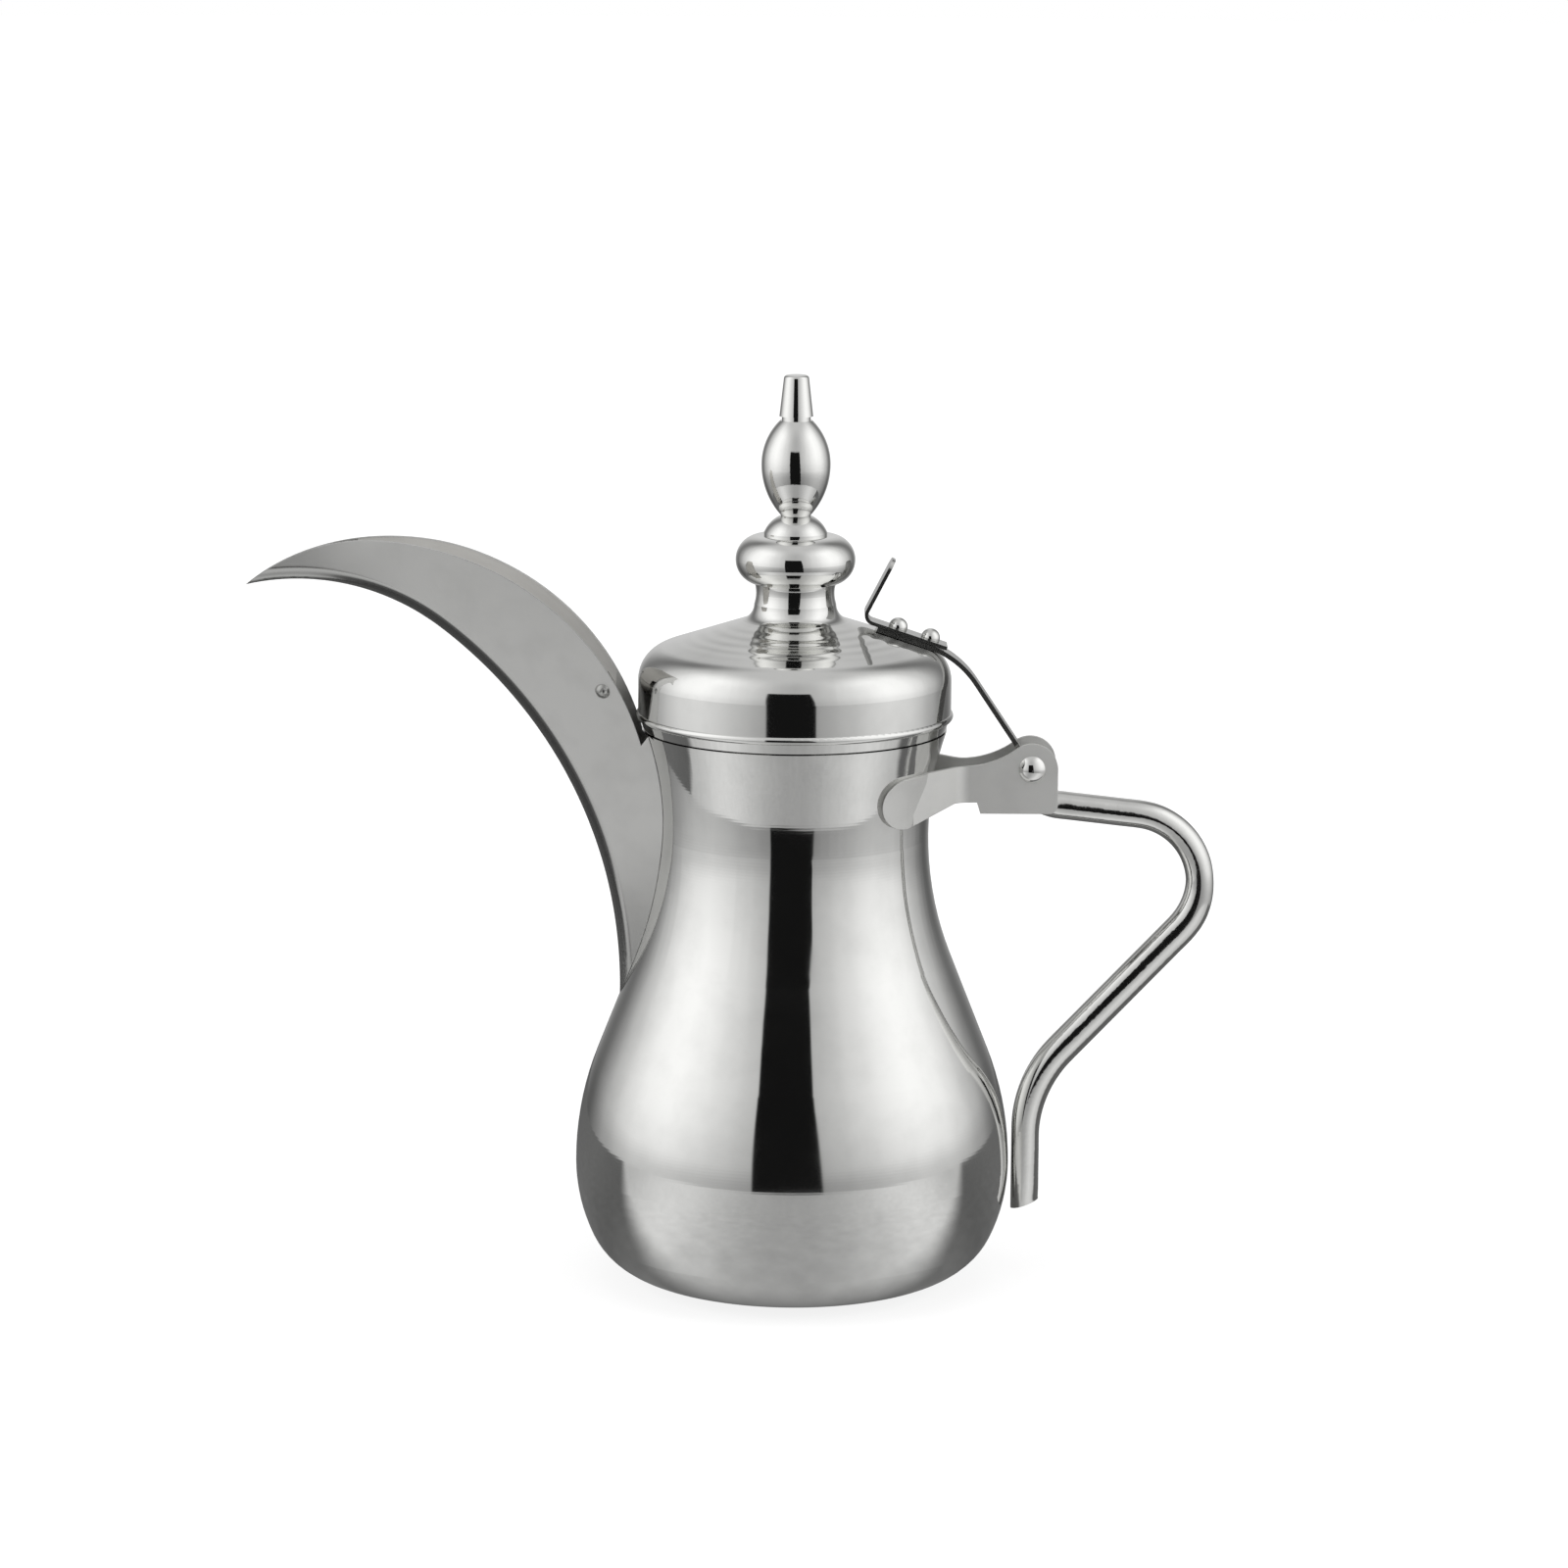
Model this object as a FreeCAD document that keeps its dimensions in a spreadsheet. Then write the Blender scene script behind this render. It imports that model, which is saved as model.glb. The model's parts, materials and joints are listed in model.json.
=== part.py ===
# Dallah coffee pot: a pear-shaped pot with an open beak, a hinged lid and a hinged flap over the beak.
# Millimetres, +Z up. The origin is the centre of the base, the spout points along -X, the handle along +X.
import FreeCAD
import Part
import math
import os
import Sketcher
from FreeCAD import Placement, Rotation, Vector
from types import SimpleNamespace

# Driving sizes in millimetres; the ones named slope or lean are ratios, the ones named turn or flare degrees.
SIZES = {
    # pot
    "wall": 0.9,                # sheet of the pot
    "belly_radius": 62.5,       # widest place
    "belly_height": 32.5,       # height of the widest place
    "base_corner": 20.5,        # arc from the flat base into the belly
    "lower_belly_arc": 48.5,
    "upper_belly_arc": 88.0,
    "neck_radius": 38.5,        # narrowest place
    "neck_height": 128.5,
    "shoulder_run": 30.6,       # straight stretch between the belly's arc and the neck's
    "neck_arc": 96.5,           # hollow arc from the narrowest place up to the rim
    "rim_height": 159.0,
    "pour_half_width": 7.5,     # window in the neck behind the spout
    "pour_end_ease": 0.05,      # its round ends are flatter than half circles by this
    "pour_bottom_drop": 36.5,   # below the rim
    "pour_top_drop": 9.0,
    "solder_gap": 0.05,         # between soldered pieces
    # lid
    "lid_wall": 1.0,
    "lid_gap": 0.4,             # foot of the lid above the rim
    "lid_overhang": 1.15,       # skirt beyond the rim
    "lid_foot_inset": 0.3,      # foot of the lid inside the rim's edge
    "bead_radius": 1.2,
    "bead_rise": 4.2,           # above the rim
    "shoulder_rise": 14.2,      # centre of the shoulder arc above the rim
    "shoulder_arc": 10.0,
    "dome_slope": 0.335,
    "dome_fillet": 5.0,         # hollow arc into the seat of the finial
    "seat_radius": 11.65,
    "collar_sheet": 1.0,
    "collar_clearance": 2.1,    # inside the mouth at the rim
    "collar_taper": 1.0,
    "collar_drop": 5.0,         # below the rim
    "collar_rise": 7.0,         # flange above the rim
    # finial
    "rod_radius": 2.0,
    "rod_fit": 0.05,
    "column_height": 6.1,
    "column_waist": 0.5,
    "mushroom_arc": 7.0,
    "mushroom_radius": 17.0,
    "mushroom_foot": 6.5,       # its seat below the widest place
    "cap_radius": 9.0,
    "cap_edge": 0.7,
    "cap_height": 5.6,
    "stem_radius": 4.2,
    "egg_radius": 9.8,
    "egg_lower": 14.5,
    "egg_upper": 12.5,
    "egg_top_radius": 4.6,
    "ring_height": 1.2,
    "ring_radius": 4.1,
    "tip_radius": 4.8,
    "tip_top_radius": 3.6,
    "tip_height": 11.6,
    "tip_round": 1.0,
    "tip_cover": 3.0,           # metal above the rod in the tip
    "washer_radius": 8.0,
    "washer_sheet": 1.0,
    "nut_flats": 7.0,
    "nut_height": 3.2,
    "rod_tail": 1.5,            # rod below the nut
    # hinge of the lid
    "hinge_reach": 29.1,        # pin outside the neck
    "hinge_drop": 10.4,         # pin below the rim
    "hinge_pin_radius": 2.0,
    "hinge_fit": 0.05,
    "pin_head_radius": 3.9,
    "pin_head_height": 1.9,
    "knuckle_wall": 1.7,
    "knuckle_play": 0.35,       # at each side, between the cheeks
    "strap_width": 9.0,
    "strap_sheet": 1.3,
    "strap_start": 23.0,        # distance from the lid's axis
    "strap_slope": 1.5,         # fall of the strap towards the pin
    "strap_bend": 27.0,
    "lift_sheet": 1.0,
    "lift_foot": 42.5,          # far end of its foot from the lid's axis
    "lift_bend_at": 18.6,
    "lift_bend": 2.4,
    "lift_lean": 0.515,
    "lift_rise": 17.0,
    "lift_corner": 3.0,
    "rivet_inner_at": 28.4,
    "rivet_outer_at": 37.6,
    "rivet_ball": 2.7,
    "rivet_ball_rise": 0.3,
    "rivet_shank": 1.5,
    "rivet_tail_radius": 2.2,
    "rivet_tail": 0.8,
    "rivet_fit": 0.02,
    # bracket
    "cheek_gap": 12.0,          # between the two plates
    "cheek_sheet": 1.2,
    "ear_radius": 7.4,
    "ear_hollow": 26.0,         # hollow arc from the arm up to the ear
    "tab_drop": 12.8,           # lower edge below the pin
    "tab_corner": 2.5,
    "tab_length": 14.6,         # from the pin towards the neck
    "tab_step": 1.0,
    "arm_drop": 9.6,            # arm's lower edge below the pin
    "arm_length": 22.0,         # start of the lower slope, from the pin
    "lobe_radius": 7.4,
    "lobe_inset": 8.0,          # lobe's centre inside the sheet that grips the neck
    "lobe_drop": 6.6,           # lobe's centre below the pin
    "splay_at": 20.5,           # bend of the arm, from the pin
    "splay_bend": 6.0,
    "landing_turn": 30.0,       # where the splayed arm meets the neck, round from the handle's side
    "lobe_turn_from": 26.0,
    "lobe_turn_to": 62.0,
    # handle
    "tang_inset": 10.0,         # flattened end, from the pin towards the neck
    "tang_drop": 10.5,          # its axis below the pin
    "tang_height": 4.6,
    "tang_play": 0.25,          # at each side, between the cheeks
    "tang_length": 8.0,
    "tang_blend": 10.0,
    "top_run_slope": 0.113,
    "handle_reach": 48.8,       # axis of the outer bend, from the pin
    "outer_bend": 20.0,
    "return_slope": 1.058,      # fall of the slanting run
    "handle_stand": 4.9,        # axis of the lower run outside the belly
    "lower_bend": 36.0,
    "handle_end": 19.6,         # height of the lower end
    "tube_diameter": 8.0,
    "tube_swell": 1.2,          # extra depth at the middle of the slanting run
    "end_cut_turn": 20.0,
    # spout
    "spout_wall": 1.0,
    "edge_crest_reach": 80.0,   # crest of the upper edge, outside the neck
    "edge_crest_rise": 54.0,    # above the rim
    "edge_front_arc": 58.9,
    "edge_rear_arc": 77.9,
    "notch_drop": 3.2,          # foot of the upper edge below the rim
    "notch_run": 2.0,
    "keel_crest_reach": 102.5,
    "keel_crest_rise": 42.3,
    "keel_upper_arc": 66.0,
    "keel_turn": 37.4,          # where the lower arc takes over
    "keel_lower_arc": 130.0,
    "keel_foot_turn": 100.0,
    "tip_run_turn": 4.0,        # the fold is drawn this far past the tip
    "keel_round": 3.0,          # rounding of the fold
    "tip_keel_round": 0.9,
    "least_round": 0.2,         # sharpest rounding inside the fold
    "trough_depth": 42.8,       # cheeks before the upper edge trims them
    "cheek_flare": 22.5,        # each cheek from the middle plane
    "tip_flare": 2.0,
    "hollow_flare": 3.0,        # the hollow starts where the cheeks flare more than this
    "foot_flare": 4.0,
    "opening_turn_from": 2.0,   # the tip's narrow fold opens between these turns of the keel
    "opening_turn_to": 30.0,
    "closing_turn_from": 70.0,  # and narrows to a fin on the pot between these
    "closing_turn_to": 85.0,
    # flap of the spout
    "flap_sheet": 1.0,
    "flap_side_gap": 0.4,
    "flap_recess": 0.2,         # below the cheeks' edges
    "flap_front": 5.5,          # beyond the crest of the edge
    "flap_pin_turn": 60.5,
    "flap_pin_depth": 3.8,      # below the edge
    "flap_pin_radius": 1.25,
    "flap_fit": 0.05,
    "flap_knuckle": 3.2,
    "flap_knuckle_half": 8.4,
    "flap_neck": 4.0,           # narrow stretch before the pin
    "flap_head_ball": 2.5,
    "flap_head_sink": 1.25,
    "flap_dimple_ball": 1.5,    # dimple in the pin's head
    "flap_dimple_depth": 0.5,
}

doc = FreeCAD.newDocument("dallah")
sheet = doc.addObject("Spreadsheet::Sheet", "Sizes")
layout = doc.addObject("App::VarSet", "Layout")
nodes = []


class Size:
    """A number together with the expression that gives it from the sheet."""

    def __init__(self, value, text):
        self.value = value
        self.text = text

    def __add__(self, other):
        return Size(self.value + as_size(other).value, f"({self.text} + {as_size(other).text})")

    def __sub__(self, other):
        return Size(self.value - as_size(other).value, f"({self.text} - {as_size(other).text})")

    def __mul__(self, other):
        return Size(self.value * as_size(other).value, f"({self.text} * {as_size(other).text})")

    def __truediv__(self, other):
        return Size(self.value / as_size(other).value, f"({self.text} / {as_size(other).text})")

    def __neg__(self):
        return Size(-self.value, f"(0 - {self.text})")

    def __rsub__(self, other):
        return as_size(other) - self

    __radd__ = __add__
    __rmul__ = __mul__


def as_size(number):
    """Lets plain numbers stand beside sizes."""
    return number if isinstance(number, Size) else Size(float(number), repr(float(number)))


def root(size):
    """Square root of a size."""
    return Size(math.sqrt(size.value), f"sqrt({size.text})")


def sine(turn):
    """Sine of a size in degrees."""
    return Size(math.sin(math.radians(turn.value)), f"sin({turn.text})")


def cosine(turn):
    """Cosine of a size in degrees."""
    return Size(math.cos(math.radians(turn.value)), f"cos({turn.text})")


def named(name, size):
    """Keeps a derived size under its own name, so that later expressions stay short."""
    layout.addProperty("App::PropertyFloat", name, "Derived")
    layout.setExpression(name, size.text)
    return Size(size.value, f"Layout.{name}")


def fill_sheet():
    """Writes the driving sizes to the sheet and returns them as sizes."""
    for row, (name, value) in enumerate(SIZES.items(), start=1):
        sheet.set(f"A{row}", name)
        sheet.set(f"B{row}", str(value))
        sheet.setAlias(f"B{row}", name)
    doc.recompute()
    return SimpleNamespace(**{name: Size(float(sheet.get(name)), f"Sizes.{name}") for name in SIZES})


S = fill_sheet()


# Sketches, turned pieces and plates

def corner(x, z, left=None, right=None):
    """A corner of an outline; left or right is the radius of the arc that leaves it, turning that way."""
    return SimpleNamespace(
        x=as_size(x),
        z=as_size(z),
        radius=left if left is not None else right,
        turns_left=left is not None,
    )


def arc_between(start, end):
    """The arc that leaves one corner and ends at the next, as a sketch draws it: anticlockwise."""
    a = Vector(start.x.value, start.z.value, 0)
    b = Vector(end.x.value, end.z.value, 0)
    if not start.turns_left:
        a, b = b, a
    chord = b - a
    radius = start.radius.value
    to_centre = Vector(-chord.y, chord.x, 0).normalize() * math.sqrt(radius ** 2 - (chord.Length / 2) ** 2)
    centre = (a + b) / 2 + to_centre
    first = math.atan2(a.y - centre.y, a.x - centre.x)
    last = math.atan2(b.y - centre.y, b.x - centre.x)
    return Part.ArcOfCircle(Part.Circle(centre, Vector(0, 0, 1), radius), first, last)


def bind(sketch, constraint, size, name):
    """Adds one constraint and ties its value to the sheet."""
    index = sketch.addConstraint(constraint)
    sketch.renameConstraint(index, name)
    sketch.setExpression(f"Constraints.{name}", size.text)


def place_point(sketch, geometry, point, x, z, name):
    """Fixes a point of a sketch by two distances from its origin, or on an axis where one is nought."""
    if abs(x.value) < 1e-9:
        sketch.addConstraint(Sketcher.Constraint("PointOnObject", geometry, point, -2))
    else:
        bind(sketch, Sketcher.Constraint("DistanceX", -1, 1, geometry, point, x.value), x, f"{name}_x")
    if abs(z.value) < 1e-9:
        sketch.addConstraint(Sketcher.Constraint("PointOnObject", geometry, point, -1))
    else:
        bind(sketch, Sketcher.Constraint("DistanceY", -1, 1, geometry, point, z.value), z, f"{name}_z")


def draw_outline(sketch, corners):
    """Draws a closed outline of lines and arcs whose corners and radii follow the sheet."""
    base = sketch.GeometryCount
    ends = []
    for i, start in enumerate(corners):
        end = corners[(i + 1) % len(corners)]
        if start.radius is None:
            a = Vector(start.x.value, start.z.value, 0)
            b = Vector(end.x.value, end.z.value, 0)
            sketch.addGeometry(Part.LineSegment(a, b), False)
            ends.append((1, 2))
        else:
            sketch.addGeometry(arc_between(start, end), False)
            ends.append((1, 2) if start.turns_left else (2, 1))
    for i, start in enumerate(corners):
        after = (i + 1) % len(corners)
        meeting = Sketcher.Constraint("Coincident", base + i, ends[i][1], base + after, ends[after][0])
        sketch.addConstraint(meeting)
    for i, start in enumerate(corners):
        place_point(sketch, base + i, ends[i][0], start.x, start.z, f"corner{base + i}")
        if start.radius is not None:
            radius = Sketcher.Constraint("Radius", base + i, start.radius.value)
            bind(sketch, radius, start.radius, f"arc{base + i}")


def draw_circle(sketch, x, z, radius):
    """Draws a circle whose centre and radius follow the sheet."""
    index = sketch.addGeometry(Part.Circle(Vector(x.value, z.value, 0), Vector(0, 0, 1), radius.value), False)
    place_point(sketch, index, 3, x, z, f"centre{index}")
    bind(sketch, Sketcher.Constraint("Radius", index, radius.value), radius, f"circle{index}")


def new_body(label):
    body = doc.addObject("PartDesign::Body", label)
    body.Label = label
    return body


def new_sketch(body, role):
    """A sketch on one of the body's own origin planes."""
    sketch = body.newObject("Sketcher::SketchObject", f"{body.Label}_outline")
    plane = [feature for feature in body.Origin.OriginFeatures if feature.Role == role][0]
    sketch.AttachmentSupport = [(plane, "")]
    sketch.MapMode = "FlatFace"
    return sketch


def turned(label, corners, turn=360.0):
    """A body turned about the Z axis from an outline of radii and heights."""
    body = new_body(label)
    sketch = new_sketch(body, "XZ_Plane")
    draw_outline(sketch, corners)
    revolution = body.newObject("PartDesign::Revolution", f"{label}_turning")
    revolution.Profile = sketch
    revolution.ReferenceAxis = (sketch, ["V_Axis"])
    revolution.Angle = turn
    return body


def add_pad(body, role, draw, length):
    """Pads a drawn sketch by the same amount to both sides of its plane."""
    sketch = new_sketch(body, role)
    draw(sketch)
    pad = body.newObject("PartDesign::Pad", f"{body.Label}_pad")
    pad.Profile = sketch
    pad.SideType = "Symmetric"
    pad.Length = length.value
    pad.setExpression("Length", length.text)
    return pad


def add_bore(body, x, z, radius, length):
    """Cuts a round hole along Y through the middle of a body."""
    sketch = new_sketch(body, "XZ_Plane")
    draw_circle(sketch, x, z, radius)
    pocket = body.newObject("PartDesign::Pocket", f"{body.Label}_bore")
    pocket.Profile = sketch
    pocket.SideType = "Symmetric"
    pocket.Length = length.value
    pocket.setExpression("Length", length.text)


def cut(label, base, tool):
    """Base less tool, as a document object."""
    result = doc.addObject("Part::Cut", label)
    result.Label = label
    result.Base = base
    result.Tool = tool
    return result


def feature(label, shape):
    """A document object for a shape that sketches and primitives cannot give."""
    result = doc.addObject("Part::Feature", label)
    result.Label = label
    result.Shape = shape
    return result


def node(piece):
    """Marks a piece as one of the finished parts."""
    nodes.append(piece)
    return piece


# Pot: the side is three tangent arcs, a straight shoulder and the hollow arc of the neck

def pot_layout():
    """Tangent points that the pot's outline needs, for any inset from its outer skin."""
    lower_x = S.belly_radius - S.lower_belly_arc
    arcs_apart = S.lower_belly_arc - S.base_corner
    rise = S.belly_height - S.base_corner
    base_flat = named("base_flat", lower_x + root(arcs_apart * arcs_apart - rise * rise))
    # the hollow arc below the neck touches the shoulder's straight run and stands upright at the neck
    drawn_in = S.belly_radius - S.neck_radius
    inner = S.upper_belly_arc - drawn_in
    up = named("belly_to_neck_up", S.neck_height - S.belly_height)
    squares = inner * inner + up * up - S.upper_belly_arc * S.upper_belly_arc - S.shoulder_run * S.shoulder_run
    waist_arc = named("waist_arc", squares / (drawn_in * 2))
    across = named("belly_to_neck_across", inner + waist_arc)
    reach = S.upper_belly_arc + waist_arc
    span = named("belly_to_neck_square", across * across + up * up)
    return SimpleNamespace(
        base_flat=base_flat,
        lower_x=lower_x,
        arcs_apart=arcs_apart,
        waist_arc=waist_arc,
        normal_x=named("shoulder_normal_x", (across * reach + up * S.shoulder_run) / span),
        normal_z=named("shoulder_normal_z", (up * reach - across * S.shoulder_run) / span),
    )


L = pot_layout()


def neck_radius_at(height, inset):
    """Radius of the neck at a height above its narrowest place."""
    radius = S.neck_arc + inset
    drop = height - S.neck_height
    return S.neck_radius + S.neck_arc - root(radius * radius - drop * drop)


def pot_side(inset, top):
    """Corners of the pot's side from the edge of the base to the top, inset from the outer skin."""
    share = (S.lower_belly_arc - inset) / L.arcs_apart
    upper = S.upper_belly_arc - inset
    hollow = L.waist_arc + inset
    return [
        corner(L.base_flat, inset, left=S.base_corner - inset),
        corner(
            L.lower_x + (L.base_flat - L.lower_x) * share,
            S.belly_height + (S.base_corner - S.belly_height) * share,
            left=S.lower_belly_arc - inset,
        ),
        corner(S.belly_radius - inset, S.belly_height, left=upper),
        corner(S.belly_radius - S.upper_belly_arc + upper * L.normal_x, S.belly_height + upper * L.normal_z),
        corner(
            S.neck_radius + L.waist_arc - hollow * L.normal_x,
            S.neck_height - hollow * L.normal_z,
            right=hollow,
        ),
        corner(S.neck_radius - inset, S.neck_height, right=S.neck_arc + inset),
        corner(neck_radius_at(top, inset), top),
    ]


def walked_back(corners):
    """The same outline from its last corner to its first."""
    back = []
    for i in range(len(corners) - 1, -1, -1):
        before = corners[i - 1] if i > 0 else None
        curved = before is not None and before.radius is not None
        back.append(corner(
            corners[i].x,
            corners[i].z,
            left=before.radius if curved and not before.turns_left else None,
            right=before.radius if curved and before.turns_left else None,
        ))
    return back


rim_radius = named("rim_radius", neck_radius_at(S.rim_height, as_size(0)))
mouth_radius = named("mouth_radius", neck_radius_at(S.rim_height, S.wall))


def make_body_shell():
    outer = pot_side(as_size(0), S.rim_height)
    inner = pot_side(S.wall, S.rim_height)
    body = turned("body_shell", [corner(0, 0)] + outer + walked_back(inner) + [corner(0, S.wall)])
    window = new_sketch(body, "YZ_Plane")
    low = S.rim_height - S.pour_bottom_drop + S.pour_half_width
    high = S.rim_height - S.pour_top_drop - S.pour_half_width
    end_arc = S.pour_half_width + S.pour_end_ease
    draw_outline(window, [
        corner(-S.pour_half_width, low, left=end_arc),
        corner(S.pour_half_width, low),
        corner(S.pour_half_width, high, left=end_arc),
        corner(-S.pour_half_width, high),
    ])
    pocket = body.newObject("PartDesign::Pocket", "pour_window")
    pocket.Profile = window
    pocket.Length = S.belly_radius.value
    pocket.setExpression("Length", S.belly_radius.text)
    return body


body_shell = node(make_body_shell())
pot_core = turned(
    "pot_core",
    [corner(0, -S.solder_gap)]
    + pot_side(-S.solder_gap, S.rim_height + S.collar_rise)
    + [corner(0, S.rim_height + S.collar_rise)],
)


# Lid: bead, skirt, shoulder, cone and hollow fillet up to the flat seat of the finial

lid_radius = named("lid_radius", rim_radius + S.lid_overhang)
lid_foot = named("lid_foot", S.rim_height + S.lid_gap)
cone_length = named("cone_length", root(1 + S.dome_slope * S.dome_slope))
cone_sin = named("cone_sin", S.dome_slope / cone_length)
cone_cos = named("cone_cos", as_size(1) / cone_length)
shoulder_x = named("shoulder_x", lid_radius - S.shoulder_arc)
shoulder_z = named("shoulder_z", S.rim_height + S.shoulder_rise)
cone_x = named("cone_x", shoulder_x + S.shoulder_arc * cone_sin)
cone_z = named("cone_z", shoulder_z + S.shoulder_arc * cone_cos)
fillet_x = named("fillet_x", S.seat_radius + S.dome_fillet)
fillet_foot_x = named("fillet_foot_x", fillet_x - S.dome_fillet * cone_sin)
fillet_foot_z = named("fillet_foot_z", cone_z + (cone_x - fillet_foot_x) * S.dome_slope)
lid_top = named("lid_top", fillet_foot_z + S.dome_fillet * cone_cos)
bore = named("rod_bore", S.rod_radius + S.rod_fit)


def make_lid_blank():
    foot_radius = rim_radius - S.lid_foot_inset
    bead_x = lid_radius - S.bead_radius / 2
    bead_z = S.rim_height + S.bead_rise
    bead_top = bead_z + root(S.bead_radius * S.bead_radius * 0.75)
    wall = S.lid_wall
    hollow = S.dome_fillet + wall
    return turned("lid_blank", [
        corner(foot_radius - wall, lid_foot),
        corner(foot_radius, lid_foot),
        corner(bead_x, bead_z - S.bead_radius, left=S.bead_radius),
        corner(lid_radius, bead_top),
        corner(lid_radius, shoulder_z, left=S.shoulder_arc),
        corner(cone_x, cone_z),
        corner(fillet_foot_x, fillet_foot_z, right=S.dome_fillet),
        corner(S.seat_radius, lid_top),
        corner(bore, lid_top),
        corner(bore, lid_top - wall),
        corner(fillet_x - root(hollow * hollow - wall * wall), lid_top - wall, left=hollow),
        corner(fillet_foot_x - wall * cone_sin, fillet_foot_z - wall * cone_cos),
        corner(cone_x - wall * cone_sin, cone_z - wall * cone_cos, right=S.shoulder_arc - wall),
        corner(lid_radius - wall, shoulder_z),
        corner(lid_radius - wall, bead_top + wall),
        corner(foot_radius - wall, bead_z - S.bead_radius),
    ])


def make_lid_collar():
    flange = S.rim_height + S.collar_rise
    outer = lid_radius - S.lid_wall - S.rod_fit
    top_radius = mouth_radius - S.collar_clearance
    foot_radius = top_radius - S.collar_taper
    foot = S.rim_height - S.collar_drop
    return turned("lid_collar", [
        corner(foot_radius - S.collar_sheet, foot),
        corner(foot_radius, foot),
        corner(top_radius, flange - S.collar_sheet),
        corner(outer, flange - S.collar_sheet),
        corner(outer, flange),
        corner(top_radius - S.collar_sheet, flange),
    ])


node(make_lid_collar())


# Finial: turned pieces threaded on one rod, each seated on the one below

def make_finial():
    column_foot = lid_top
    column_top = named("column_top", column_foot + S.column_height)
    waist = S.seat_radius - S.column_waist
    half = S.column_height / 2
    waist_arc = (half * half + S.column_waist * S.column_waist) / (S.column_waist * 2)
    node(turned("finial_column", [
        corner(bore, column_foot),
        corner(S.seat_radius, column_foot, right=waist_arc),
        corner(waist, column_foot + half, right=waist_arc),
        corner(S.seat_radius, column_top),
        corner(bore, column_top),
    ]))

    mushroom_x = S.mushroom_radius - S.mushroom_arc
    mushroom_z = column_top + S.mushroom_foot
    mushroom_top = named("mushroom_top", mushroom_z + S.mushroom_arc)
    rim_foot = mushroom_x + root(S.mushroom_arc * S.mushroom_arc - S.mushroom_foot * S.mushroom_foot)
    node(turned("finial_mushroom", [
        corner(bore, column_top),
        corner(rim_foot, column_top, left=S.mushroom_arc),
        corner(S.mushroom_radius, mushroom_z, left=S.mushroom_arc),
        corner(mushroom_x, mushroom_top),
        corner(bore, mushroom_top),
    ]))

    cap_top = named("cap_top", mushroom_top + S.cap_height)
    node(turned("finial_cap", [
        corner(bore, mushroom_top),
        corner(S.cap_radius, mushroom_top),
        corner(S.cap_radius, mushroom_top + S.cap_edge, left=S.cap_radius),
        corner(S.stem_radius, cap_top),
        corner(bore, cap_top),
    ]))

    egg_middle = cap_top + S.egg_lower
    egg_top = named("egg_top", egg_middle + S.egg_upper)
    low_in = S.egg_radius - S.stem_radius
    high_in = S.egg_radius - S.egg_top_radius
    node(turned("finial_egg", [
        corner(bore, cap_top),
        corner(S.stem_radius, cap_top, left=(low_in * low_in + S.egg_lower * S.egg_lower) / (low_in * 2)),
        corner(S.egg_radius, egg_middle, left=(high_in * high_in + S.egg_upper * S.egg_upper) / (high_in * 2)),
        corner(S.egg_top_radius, egg_top),
        corner(bore, egg_top),
    ]))

    ring_top = named("ring_top", egg_top + S.ring_height)
    node(turned("finial_ring", [
        corner(bore, egg_top),
        corner(S.ring_radius, egg_top),
        corner(S.ring_radius, ring_top),
        corner(bore, ring_top),
    ]))

    tip_top = named("tip_top", ring_top + S.tip_height)
    rod_top = named("rod_top", tip_top - S.tip_cover)
    node(turned("finial_tip", [
        corner(bore, ring_top),
        corner(S.tip_radius, ring_top),
        corner(S.tip_top_radius, tip_top - S.tip_round, left=S.tip_round),
        corner(S.tip_top_radius - S.tip_round, tip_top),
        corner(0, tip_top),
        corner(0, rod_top + S.rod_fit),
        corner(bore, rod_top + S.rod_fit),
    ]))

    washer_top = lid_top - S.lid_wall
    nut_top = named("nut_top", washer_top - S.washer_sheet)
    nut_foot = nut_top - S.nut_height
    node(turned("lid_washer", [
        corner(bore, nut_top),
        corner(S.washer_radius, nut_top),
        corner(S.washer_radius, washer_top),
        corner(bore, washer_top),
    ]))
    node(turned("finial_rod", [
        corner(0, nut_foot - S.rod_tail),
        corner(S.rod_radius, nut_foot - S.rod_tail),
        corner(S.rod_radius, rod_top),
        corner(0, rod_top),
    ]))
    make_nut(nut_top)


def make_nut(top):
    """Hexagon nut that draws the finial down."""
    body = new_body("lid_nut")
    flat = S.nut_flats / 2
    point = S.nut_flats / root(as_size(3))
    half_side = point / 2

    def draw(sketch):
        draw_outline(sketch, [
            corner(point, 0),
            corner(half_side, flat),
            corner(-half_side, flat),
            corner(-point, 0),
            corner(-half_side, -flat),
            corner(half_side, -flat),
        ])
        draw_circle(sketch, as_size(0), as_size(0), bore)

    add_pad(body, "XY_Plane", draw, S.nut_height)
    body.Placement = Placement(Vector(0, 0, top.value - S.nut_height.value / 2), Rotation())
    body.setExpression("Placement.Base.z", (top - S.nut_height / 2).text)
    node(body)


make_finial()


# Hinge of the lid: strap on the cone, bent down to the pin; thumb lift above it; two ball-headed rivets

pin_x = named("pin_x", S.neck_radius + S.hinge_reach)
pin_z = named("pin_z", S.rim_height - S.hinge_drop)
fall_length = named("fall_length", root(1 + S.strap_slope * S.strap_slope))
fall_sin = named("fall_sin", S.strap_slope / fall_length)
fall_cos = named("fall_cos", as_size(1) / fall_length)


def on_cone(distance, height):
    """A point at a distance from the lid's axis along the cone, raised square to the cone."""
    x = distance + height * cone_sin
    z = cone_z - (distance - cone_x) * S.dome_slope + height * cone_cos
    return x, z


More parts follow.
